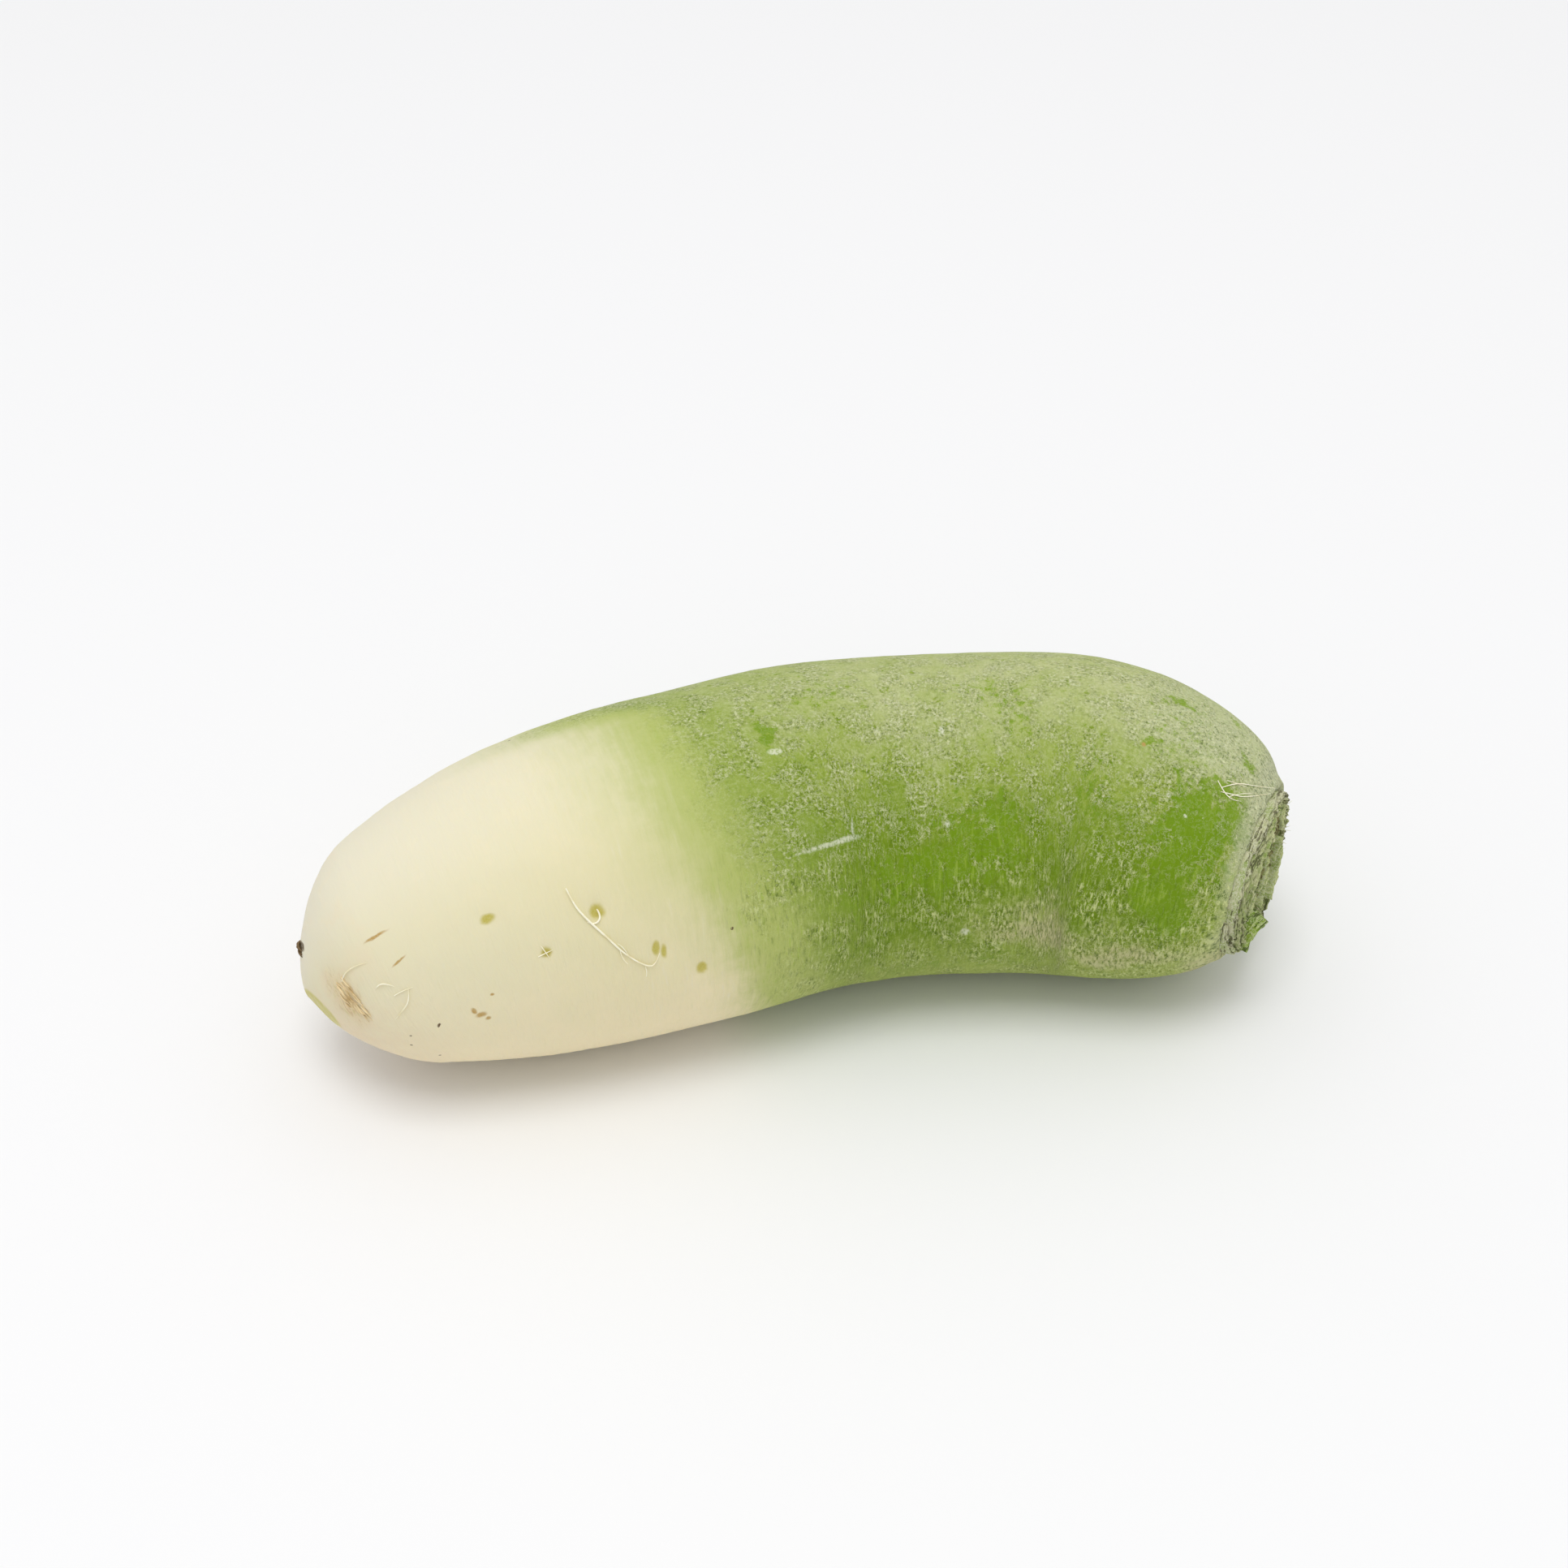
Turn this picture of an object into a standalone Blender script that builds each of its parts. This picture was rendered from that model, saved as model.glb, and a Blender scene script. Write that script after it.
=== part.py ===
# A green radish, trimmed and lying on its side: the swollen root, the ring of dry old leaf bases
# round its crown, and the stubs of the leaf stalks that were cut off.
#
# Metres, +Z up. X runs along the root from its tail to its crown, and the root bows towards +Y.
# The origin lies under the middle of the whole, on the surface that the root rests on.

import math
import random

import bmesh
import bpy
from mathutils import Matrix, Vector

MM = 0.001

# The root's middle line, in mm: along, aside and above the surface, by how far on from the tail it is.
SPINE = (
    (0, (-98.3, 3.9, 20.0)),
    (30, (-73.4, 7.4, 30.9)),
    (60, (-43.5, 14.4, 34.7)),
    (92, (-13.0, 20.6, 35.9)),
    (119, (14.0, 26.9, 35.3)),
    (150, (45.0, 25.8, 35.0)),
    (180, (73.3, 20.5, 35.3)),
    (211, (103.1, 0.0, 33.5)),
)
ROOT_LENGTH = SPINE[-1][0]

# The root's radius in mm, by how far on from the tail, before its two ends are closed.
GIRTH = ((0, 16.7), (22, 25.5), (40, 30.9), (60, 34.7), (86, 35.9), (138, 35.0), (172, 35.5), (211, 35.4))
TAIL_CAP_LENGTH = 23.4  # mm over which the tail closes
TAIL_CAP_POWER = 0.7  # 0.5 is a round end, 1 a pointed one
SHOULDER_LENGTH = 38.0  # mm over which the crown end closes
SHOULDER_POWER = 0.59
CROWN_RADIUS = 18.9  # mm, the flat top that the leaves grew from

EASING = 12.0  # mm to either side over which the spine and the girth are smoothed
ROOT_RINGS = 58
FIRST_RING = 0.35  # of one step between rings, how far in from the tip the first ring is
ROOT_SIDES = 48
LOBE_HEIGHT = 0.35  # mm that the root's soft lobes stand proud of a true round
SETTLE = 0.7  # mm worn flat where the belly carries the weight
TAIL_CUT_DEPTH = 1.0  # mm trimmed off the tail's tip
TAIL_CUT_TURN = 24  # degrees that this cut turns from square

CLEARANCE = 0.3  # mm between neighbouring pieces

# Dry leaf bases: thin clasping scales, each tucked under the next, on one thin ring.
DRY_COUNT = 6
DRY_SPAN = 128  # degrees of the crown that one scale goes round
DRY_OUTER_RADIUS = 18.7  # mm, at a scale's free end
DRY_INNER_RADIUS = 17.6  # mm, at its tucked end
DRY_THICKNESS = 1.0  # mm, in the middle of a scale
DRY_END_THICKNESS = 0.55  # mm
DRY_HEIGHT = (2.0, 4.1)  # mm above the crown, at the free and the tucked end
DRY_END_FALL = 0.35  # share of that height that the very ends fall away by
DRY_RIM = 0.2  # mm that a scale's rim is drawn in by, and that its foot is sunk by
DRY_RING_RADII = (16.6, 18.7)  # mm
DRY_RING_HEIGHT = 0.9  # mm
DRY_HEIGHT_SHARES = (0.85, 1.1)  # each scale's own share of the heights

# Green stubs, in whorls from the outside in: how many, how far out, how wide and how thick, in mm, and
# where the first stands, in degrees round the crown.
WHORLS = (
    {"count": 5, "out": 13.3, "width": 12.8, "thick": 4.2, "turn": 40},
    {"count": 4, "out": 7.9, "width": 9.0, "thick": 3.3, "turn": 20},
    {"count": 3, "out": 3.2, "width": 5.0, "thick": 2.6, "turn": 75},
)
KNIFE_HEIGHT = 4.5  # mm above the crown's middle that the leaves were cut at
KNIFE_FALL = 0.14  # how steeply that cut falls towards the crown's upper side
KNIFE_SLIPS = (0.82, 1.12)  # each stub's own share of that height
STUB_SLANT = 9  # degrees, the most that a stub's cut leans
STUB_LEAN = 4  # degrees that the stubs lean outwards
STUB_SPARE = 4.0  # mm that a stalk is drawn past its cut
STUB_FLARE = 0.10  # share by which a stub is wider at its foot
CRESCENT_BOW = 0.20  # share of its half width by which a stub's two edges bend inwards
CRESCENT_HOLLOW = 0.22  # share of its thickness by which a stub's inner face is hollow
CRESCENT_POINTS = 9  # from edge to edge
PLATE_RADIUS = 16.2  # mm, the short stem that the stubs stand on
PLATE_HEIGHT = 1.4  # mm at its rim
PLATE_DOME = 0.7  # mm higher in the middle
SEED = 7

MATERIALS = {
    "root_skin": {"colour": (0.45, 0.55, 0.20, 1.0), "roughness": 0.55},
    "dry_leaf_base": {"colour": (0.48, 0.45, 0.33, 1.0), "roughness": 0.9},
    "leaf_stalk": {"colour": (0.36, 0.48, 0.16, 1.0), "roughness": 0.6},
}


def clear_scene():
    for obj in list(bpy.data.objects):
        bpy.data.objects.remove(obj)


def curve_through(stations, at):
    # A curve through stations of (place, value), read at a place.
    places = [place for place, value in stations]
    last = len(stations) - 1
    here = max(i for i in range(last) if places[i] <= at or i == 0)

    def slope(i):
        low, high = max(i - 1, 0), min(i + 1, last)
        return (stations[high][1] - stations[low][1]) / (places[high] - places[low])

    step = places[here + 1] - places[here]
    t = (at - places[here]) / step
    start, end = stations[here][1], stations[here + 1][1]
    return (
        start * (2 * t**3 - 3 * t**2 + 1)
        + slope(here) * (step * (t**3 - 2 * t**2 + t))
        + end * (3 * t**2 - 2 * t**3)
        + slope(here + 1) * (step * (t**3 - t**2))
    )


def smooth_through(stations, at):
    # The curve's mean over a short stretch round the place, so that no bend shows at a station.
    reach = min(EASING, at - stations[0][0], stations[-1][0] - at)
    readings = [curve_through(stations, at + reach * k / 3) for k in range(-3, 4)]
    return sum(readings[1:], readings[0]) / len(readings)


SPINE_LINE = [(place, Vector(point)) for place, point in SPINE]


def spine_frame(at):
    # The middle line's point, its direction towards the crown, and the two directions square to it.
    near = 0.5
    point = smooth_through(SPINE_LINE, at)
    low, high = max(at - near, 0), min(at + near, ROOT_LENGTH)
    forward = (smooth_through(SPINE_LINE, high) - smooth_through(SPINE_LINE, low)).normalized()
    side = Vector((0, 0, 1)).cross(forward).normalized()
    return point, forward, side, forward.cross(side)


def root_radius(at):
    radius = smooth_through(GIRTH, at)
    if at < TAIL_CAP_LENGTH:
        rest = 1 - at / TAIL_CAP_LENGTH
        radius *= (1 - rest**2) ** TAIL_CAP_POWER
    start = ROOT_LENGTH - SHOULDER_LENGTH
    if at > start:
        gone = min((at - start) / SHOULDER_LENGTH, 1)
        share = (1 - gone**2) ** SHOULDER_POWER
        radius = CROWN_RADIUS + (radius - CROWN_RADIUS) * share
    return radius


def lobes(at, angle):
    # Low swellings that run slowly round and along the root, fading out at both ends.
    fade = math.sin(math.pi * at / ROOT_LENGTH) ** 2
    wave = math.sin(3 * angle + at / 31) + 0.6 * math.sin(2 * angle - at / 17 + 1.0)
    return LOBE_HEIGHT * fade * wave


def loft(rings):
    # A closed body through rings of points: the first ring is drawn, then extruded from ring to ring.
    bm = bmesh.new()
    verts = [bm.verts.new(point) for point in rings[0]]
    edges = [bm.edges.new((a, b)) for a, b in zip(verts, verts[1:] + verts[:1])]
    first_cap = bmesh.ops.contextual_create(bm, geom=edges)["faces"]
    for ring in rings[1:]:
        made = bmesh.ops.extrude_edge_only(bm, edges=edges)["geom"]
        fresh = {vert for vert in made if isinstance(vert, bmesh.types.BMVert)}
        moved = []
        for vert, point in zip(verts, ring):
            twin = next(e.other_vert(vert) for e in vert.link_edges if e.other_vert(vert) in fresh)
            twin.co = point
            moved.append(twin)
        verts = moved
        edges = [bm.edges.get((a, b)) for a, b in zip(verts, verts[1:] + verts[:1])]
    last_cap = bmesh.ops.contextual_create(bm, geom=edges)["faces"]
    bmesh.ops.triangulate(bm, faces=first_cap + last_cap)
    bmesh.ops.recalc_face_normals(bm, faces=bm.faces)
    return bm


def cut_flat(bm, point, normal):
    # Takes away what lies past a plane, and closes the cut with a flat face.
    cut = bmesh.ops.bisect_plane(
        bm,
        geom=bm.verts[:] + bm.edges[:] + bm.faces[:],
        dist=1e-4,
        plane_co=point,
        plane_no=normal,
        clear_outer=True,
    )
    rim = [edge for edge in cut["geom_cut"] if isinstance(edge, bmesh.types.BMEdge)]
    bmesh.ops.holes_fill(bm, edges=rim)
    bmesh.ops.recalc_face_normals(bm, faces=bm.faces)


def material(name):
    made = bpy.data.materials.new(name)
    made.use_nodes = True
    shader = made.node_tree.nodes["Principled BSDF"]
    shader.inputs["Base Color"].default_value = MATERIALS[name]["colour"]
    shader.inputs["Roughness"].default_value = MATERIALS[name]["roughness"]
    made.diffuse_color = MATERIALS[name]["colour"]
    return made


def new_object(name, bm, collection=None):
    # Shapes are drawn in millimetres, and scaled here to metres.
    bmesh.ops.scale(bm, vec=(MM, MM, MM), verts=bm.verts)
    mesh = bpy.data.meshes.new(name)
    bm.to_mesh(mesh)
    bm.free()
    obj = bpy.data.objects.new(name, mesh)
    (collection or bpy.context.scene.collection).objects.link(obj)
    return obj


def make_root():
    rings = []
    for i in range(ROOT_RINGS):
        # Rings crowd together towards both ends, where the root closes.
        share = (1 - math.cos(math.pi * (i + FIRST_RING) / (ROOT_RINGS - 1 + FIRST_RING))) / 2
        at = ROOT_LENGTH * share
        point, forward, side, up = spine_frame(at)
        ring = []
        for j in range(ROOT_SIDES):
            angle = 2 * math.pi * j / ROOT_SIDES
            radius = root_radius(at) + lobes(at, angle)
            ring.append(point + side * (radius * math.cos(angle)) + up * (radius * math.sin(angle)))
        rings.append(ring)
    bm = loft(rings)

    point, forward, side, up = spine_frame(0)
    cut_normal = Matrix.Rotation(math.radians(TAIL_CUT_TURN), 3, "Z") @ -forward
    tip = min((vert.co.copy() for vert in bm.verts), key=lambda co: co.dot(-cut_normal))
    cut_flat(bm, tip - cut_normal * TAIL_CUT_DEPTH, cut_normal)

    bmesh.ops.translate(bm, vec=(0, 0, -SETTLE), verts=bm.verts)
    cut_flat(bm, Vector((0, 0, 0)), Vector((0, 0, -1)))
    return new_object("root_body", bm)


def crown_matrix():
    # Takes a shape drawn round +Z on z = 0 to the root's flat top, one clearance off it.
    point, forward, side, up = spine_frame(ROOT_LENGTH)
    turned = Matrix((side, up, forward)).transposed().to_4x4()
    place = point + forward * CLEARANCE - Vector((0, 0, SETTLE))
    return Matrix.Translation(place) @ turned


def round_slab(radii, heights, sides):
    # A turned solid with a hole: its outer and inner wall, bottom and top.
    (inner, outer), (low, high) = radii, heights
    profile = ((inner, low), (outer, low), (outer, high), (inner, high))
    bm = bmesh.new()
    verts = [bm.verts.new((radius, 0, height)) for radius, height in profile]
    edges = [bm.edges.new((a, b)) for a, b in zip(verts, verts[1:] + verts[:1])]
    bmesh.ops.spin(
        bm, geom=verts + edges, axis=(0, 0, 1), cent=(0, 0, 0), angle=2 * math.pi, steps=sides, use_merge=True
    )
    bmesh.ops.remove_doubles(bm, verts=bm.verts, dist=1e-4)
    bmesh.ops.recalc_face_normals(bm, faces=bm.faces)
    return bm


def dry_scale(start_angle, height_share):
    # One clasping scale: it winds inwards and rises from its free end to its tucked end.
    steps = 14
    low, high = DRY_HEIGHT
    rings = []
    for i in range(steps + 1):
        t = i / steps
        angle = start_angle + math.radians(DRY_SPAN) * t
        outer = DRY_OUTER_RADIUS + (DRY_INNER_RADIUS - DRY_OUTER_RADIUS) * t
        thick = DRY_END_THICKNESS + (DRY_THICKNESS - DRY_END_THICKNESS) * math.sin(math.pi * t)
        top = (low + (high - low) * t) * height_share * (1 - DRY_END_FALL * (2 * t - 1) ** 6)
        inner = outer - thick
        corners = ((outer, DRY_RIM), (outer - DRY_RIM, top), (inner, top - DRY_RIM), (inner, DRY_RIM))
        rings.append([Vector((r * math.cos(angle), r * math.sin(angle), z)) for r, z in corners])
    return loft(rings)


def stalk_stub(out, width, thick, tall, angle, slant, slant_turn):
    # One cut stalk: a crescent section with its hollow side inwards, sunk in the stem plate.
    half = width / 2
    outer_side, inner_side = [], []
    for i in range(CRESCENT_POINTS):
        t = 2 * i / (CRESCENT_POINTS - 1) - 1
        middle = out - CRESCENT_BOW * half * t * t
        depth = thick / 2 * math.sqrt(1 - t * t)
        outer_side.append(Vector((middle + depth, half * t, 0)))
        if abs(t) < 1:
            hollow = CRESCENT_HOLLOW * thick * (1 - t * t) ** 1.5
            inner_side.append(Vector((middle - depth + hollow, half * t, 0)))
    section = outer_side + inner_side[::-1]
    low, high = PLATE_HEIGHT / 4, tall + STUB_SPARE
    rings = []
    for share in (0.0, 0.35, 1.0):
        height = low + (high - low) * share
        widen = 1 + STUB_FLARE * (1 - share) ** 2
        outwards = Vector((math.tan(math.radians(STUB_LEAN)) * height, 0, 0))
        centre = Vector((out, 0, 0))
        rings.append([centre + (p - centre) * widen + outwards + Vector((0, 0, height)) for p in section])
    bm = loft(rings)
    lean = Matrix.Rotation(slant_turn, 3, "Z") @ Vector((math.sin(slant), 0, math.cos(slant)))
    cut_flat(bm, Vector((out, 0, tall)), lean)
    bmesh.ops.rotate(bm, cent=(0, 0, 0), matrix=Matrix.Rotation(angle, 3, "Z"), verts=bm.verts)
    return bm


def stem_plate():
    # The short stem: a low dome, turned from its profile.
    rise = 6
    profile = [(0.0, 0.0), (PLATE_RADIUS, 0.0)]
    for i in range(rise + 1):
        t = i / rise
        profile.append((PLATE_RADIUS * (1 - t), PLATE_HEIGHT + PLATE_DOME * math.sin(math.pi / 2 * t)))
    bm = bmesh.new()
    verts = [bm.verts.new((radius, 0, height)) for radius, height in profile]
    edges = [bm.edges.new((a, b)) for a, b in zip(verts, verts[1:])]
    bmesh.ops.spin(
        bm, geom=verts + edges, axis=(0, 0, 1), cent=(0, 0, 0), angle=2 * math.pi, steps=40, use_merge=True
    )
    bmesh.ops.remove_doubles(bm, verts=bm.verts, dist=1e-4)
    bmesh.ops.recalc_face_normals(bm, faces=bm.faces)
    return bm


def united(name, base, repeats):
    # Joins the repeats to the base with one Boolean union on a collection.
    gathered = bpy.data.collections.new(name + "_repeats")
    bpy.context.scene.collection.children.link(gathered)
    body = new_object(name, base)
    for i, bm in enumerate(repeats):
        new_object(f"{name}_repeat_{i}", bm, gathered)
    join = body.modifiers.new("join", "BOOLEAN")
    join.operation = "UNION"
    join.operand_type = "COLLECTION"
    join.collection = gathered
    join.solver = "EXACT"
    bpy.context.view_layer.update()
    graph = bpy.context.evaluated_depsgraph_get()
    joined = bpy.data.meshes.new_from_object(body.evaluated_get(graph))
    body.modifiers.clear()
    body.data = joined
    for obj in list(gathered.objects):
        bpy.data.objects.remove(obj)
    bpy.data.collections.remove(gathered)
    return body


def make_dry_leaf_bases():
    draw = random.Random(SEED)
    scales = []
    for i in range(DRY_COUNT):
        start = 2 * math.pi * (i + 0.25 * draw.random()) / DRY_COUNT
        scales.append(dry_scale(start, draw.uniform(*DRY_HEIGHT_SHARES)))
    ring = round_slab(DRY_RING_RADII, (0, DRY_RING_HEIGHT), 48)
    return united("dry_leaf_bases", ring, scales)


def make_leaf_stalk_stubs():
    draw = random.Random(SEED + 1)
    stubs = []
    for whorl in WHORLS:
        for i in range(whorl["count"]):
            angle = math.radians(whorl["turn"] + 360 * i / whorl["count"] + draw.uniform(-4, 4))
            cut_height = KNIFE_HEIGHT - KNIFE_FALL * whorl["out"] * math.sin(angle)
            stubs.append(
                stalk_stub(
                    out=whorl["out"],
                    width=whorl["width"],
                    thick=whorl["thick"],
                    tall=cut_height * draw.uniform(*KNIFE_SLIPS),
                    angle=angle,
                    slant=math.radians(draw.uniform(0.3, 1.0) * STUB_SLANT),
                    slant_turn=draw.uniform(0, 2 * math.pi),
                )
            )
    return united("leaf_stalk_stubs", stem_plate(), stubs)


def finish(obj, material_name, root_empty):
    obj.data.materials.clear()
    obj.data.materials.append(material(material_name))
    obj.data.shade_smooth()
    obj.data.set_sharp_from_angle(angle=math.radians(38))
    obj.parent = root_empty


def make_radish():
    clear_scene()
    radish = bpy.data.objects.new("radish", None)
    bpy.context.scene.collection.objects.link(radish)

    root = make_root()
    dry = make_dry_leaf_bases()
    stubs = make_leaf_stalk_stubs()
    to_crown = Matrix.Scale(MM, 4) @ crown_matrix() @ Matrix.Scale(1 / MM, 4)
    for obj in (dry, stubs):
        obj.data.transform(to_crown)

    finish(root, "root_skin", radish)
    finish(dry, "dry_leaf_base", radish)
    finish(stubs, "leaf_stalk", radish)

    # The middle of the whole, seen from above, goes over the origin.
    points = [vert.co for obj in (root, dry, stubs) for vert in obj.data.vertices]
    middle = [(min(p[k] for p in points) + max(p[k] for p in points)) / 2 for k in (0, 1)]
    radish.location = (-middle[0], -middle[1], 0)


make_radish()
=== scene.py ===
import math
import random

import bmesh
import bpy
import numpy as np
from mathutils import Matrix, Vector, noise
from mathutils.bvhtree import BVHTree


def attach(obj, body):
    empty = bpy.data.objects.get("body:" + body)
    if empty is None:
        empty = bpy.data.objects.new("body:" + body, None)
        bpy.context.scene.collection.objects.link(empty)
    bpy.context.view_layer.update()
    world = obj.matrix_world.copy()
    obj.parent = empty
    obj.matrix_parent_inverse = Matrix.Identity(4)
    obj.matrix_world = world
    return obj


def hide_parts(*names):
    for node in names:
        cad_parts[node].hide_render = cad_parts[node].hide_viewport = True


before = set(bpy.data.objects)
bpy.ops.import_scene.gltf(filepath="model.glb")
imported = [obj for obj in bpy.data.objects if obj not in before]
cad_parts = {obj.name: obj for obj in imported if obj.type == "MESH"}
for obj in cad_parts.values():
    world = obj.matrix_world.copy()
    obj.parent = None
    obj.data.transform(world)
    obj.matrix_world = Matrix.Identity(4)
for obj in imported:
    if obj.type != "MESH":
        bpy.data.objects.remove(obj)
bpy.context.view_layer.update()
mm = 0.001
print("frame loaded")

# The middle line of the root, in mm: how far on from the tail, and where.
middleLine = (
    (0, (-106.9, -16.9, 19.3)),
    (30, (-82.0, -13.4, 30.2)),
    (60, (-52.1, -6.4, 34.0)),
    (92, (-21.6, -0.2, 35.2)),
    (119, (5.4, 6.1, 34.6)),
    (150, (36.4, 5.0, 34.3)),
    (180, (64.7, -0.3, 34.6)),
    (211, (94.5, -20.8, 32.8)),
)


def alongLine(at):
    # Points and directions of the middle line at an array of distances.
    places = np.array([place for place, point in middleLine], float)
    points = np.array([point for place, point in middleLine], float)
    slopes = np.gradient(points, places, axis=0)
    at = np.atleast_1d(np.asarray(at, float))
    here = np.clip(np.searchsorted(places, at, side="right") - 1, 0, len(places) - 2)
    step = (places[here + 1] - places[here])[:, None]
    t = (at - places[here])[:, None] / step
    spots = (
        points[here] * (2 * t**3 - 3 * t**2 + 1)
        + slopes[here] * step * (t**3 - 2 * t**2 + t)
        + points[here + 1] * (3 * t**2 - 2 * t**3)
        + slopes[here + 1] * step * (t**3 - t**2)
    )
    ways = (
        (points[here + 1] - points[here]) * (6 * t - 6 * t**2) / step
        + slopes[here] * (3 * t**2 - 4 * t + 1)
        + slopes[here + 1] * (3 * t**2 - 2 * t)
    )
    return spots, ways / np.linalg.norm(ways, axis=1)[:, None]


def sideAndUp(ways):
    side = np.cross((0.0, 0.0, 1.0), ways)
    side /= np.linalg.norm(side, axis=-1)[..., None]
    return side, np.cross(ways, side)


class Wire:
    # One output of a node. Sums and products of wires add the Math nodes that they need.
    def __init__(self, tree, output=None):
        self.tree = tree
        self.output = output

    def node(self, kind, settings, values, pick=0):
        made = self.tree.nodes.new(kind)
        for name, value in settings.items():
            if name == "stops":
                for stop, (place, colour) in zip(self.stopsOf(made, len(value)), value):
                    stop.position, stop.color = place, colour
            else:
                setattr(made, name, value)
        for name, value in values.items():
            if isinstance(value, Wire):
                self.tree.links.new(value.output, made.inputs[name])
            else:
                made.inputs[name].default_value = value
        return Wire(self.tree, made.outputs[pick])

    @staticmethod
    def stopsOf(made, count):
        stops = made.color_ramp.elements
        while len(stops) < count:
            stops.new(0.5)
        return stops

    def maths(self, operation, *others):
        return self.node("ShaderNodeMath", {"operation": operation}, dict(enumerate((self, *others))))

    def __add__(self, other):
        return self.maths("ADD", other)

    __radd__ = __add__

    def __mul__(self, other):
        return self.maths("MULTIPLY", other)

    __rmul__ = __mul__

    def __sub__(self, other):
        return self.maths("SUBTRACT", other)

    def __rsub__(self, other):
        return self.node("ShaderNodeMath", {"operation": "SUBTRACT"}, {0: other, 1: self})

    def __truediv__(self, other):
        return self.maths("DIVIDE", other)

    def __pow__(self, other):
        return self.maths("POWER", other)

    def atMost(self, other):
        return self.maths("MINIMUM", other)

    def atLeast(self, other):
        return self.maths("MAXIMUM", other)

    def between(self, low, high):
        # 0 below low, 1 above high and smooth between. Given high before low it falls instead.
        values = {"Value": self, "From Min": low, "From Max": high}
        return self.node("ShaderNodeMapRange", {"interpolation_type": "SMOOTHSTEP"}, values)

    def shifted(self, other):
        return self.node("ShaderNodeVectorMath", {"operation": "ADD"}, {0: self, 1: other})

    def timesVector(self, other):
        return self.node("ShaderNodeVectorMath", {"operation": "MULTIPLY"}, {0: self, 1: other})

    def length(self):
        return self.node("ShaderNodeVectorMath", {"operation": "LENGTH"}, {0: self}, pick="Value")

    def parts(self):
        return [self.node("ShaderNodeSeparateXYZ", {}, {0: self}, pick=k) for k in range(3)]

    def grain(self, scale, detail=2.0, roughness=0.5, stretch=None, offset=None):
        # Noise round 0.5 on this wire's coordinates, drawn out along the axes that stretch names.
        where = self
        if stretch or offset:
            values = {0: self, "Location": offset or (0, 0, 0), "Scale": stretch or (1, 1, 1)}
            where = self.node("ShaderNodeMapping", {}, values)
        values = {"Vector": where, "Scale": scale, "Detail": detail, "Roughness": roughness}
        return self.node("ShaderNodeTexNoise", {"noise_dimensions": "3D"}, values)


def colour(red, green, blue):
    # The colour as a paint program shows it, made linear.
    def linear(part):
        part /= 255
        return part / 12.92 if part <= 0.04045 else ((part + 0.055) / 1.055) ** 2.4

    return (linear(red), linear(green), linear(blue), 1.0)


def newMaterial(name, fixed):
    made = bpy.data.materials.new(name)
    made.use_nodes = True
    shader = made.node_tree.nodes["Principled BSDF"]
    for socket, value in fixed.items():
        shader.inputs[socket].default_value = value
    return made, shader, Wire(made.node_tree)


def plug(wire, shader, socket):
    wire.tree.links.new(wire.output, shader.inputs[socket])


def bumpInto(wire, shader, distance, strength=1.0):
    values = {"Height": wire, "Distance": distance, "Strength": strength}
    plug(wire.node("ShaderNodeBump", {}, values), shader, "Normal")


def newPiece(name, bm, made, nodes=()):
    # Shapes are drawn in mm and scaled to metres here.
    bmesh.ops.scale(bm, vec=(mm, mm, mm), verts=bm.verts)
    mesh = bpy.data.meshes.new(name)
    bm.to_mesh(mesh)
    bm.free()
    mesh.shade_smooth()
    piece = bpy.data.objects.new(name, mesh)
    bpy.context.scene.collection.objects.link(piece)
    mesh.materials.append(made)
    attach(piece, "root")
    if nodes:
        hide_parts(*nodes)
    return piece


# Places on the root are given as mm from the tail and degrees round it: 0 is the side away from the
# camera, 90 the top, 180 the side towards the camera.
def unbentSpot(at, angle, radius):
    turn = math.radians(angle)
    return Vector((at, radius * math.cos(turn), radius * math.sin(turn)))


crown = {
    "centre": (94.5, -20.8, 32.8),
    "towards": (29.8, -20.5, -1.8),
    "gap": 0.3,
    "lip": (19.7, 1.5, 1.2),  # radius, width and height of the fold of skin round the leaf bases
    "fringe": (25.2, 4.5),  # how far out the dust round it reaches, and over what width it fades
    "seed": 7,
}


def crownPlace():
    forward = Vector(crown["towards"]).normalized()
    side = Vector((0, 0, 1)).cross(forward).normalized()
    turned = Matrix((side, forward.cross(side), forward)).transposed().to_4x4()
    return Matrix.Translation(Vector(crown["centre"]) + forward * crown["gap"]) @ turned


# Skin

skin = {
    "around": 288,
    "along": 322,
    "tailFan": 24.0,  # mm from the tail at which the tail's rays start
    "tailArc": 42.0,  # mm of skin from there to the tip
    "crownFan": 186.0,
    "crownArc": 62.0,
    "seed": 5,
    "blur": (4.0, 3.2),  # rings and columns over which the CAD solid's facets are smoothed
    "lumps": ((17, 0.22), (6, 0.08)),  # size and height in mm
    "ripples": 0.05,
    "pitRim": (3, 2.6, 0.2),  # how much wider than a pit its dip is, and its share of the depth
    "tailCutNormal": (-0.80, -0.52, -0.30),
    "tailCutDepth": 0.3,
}

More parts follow.
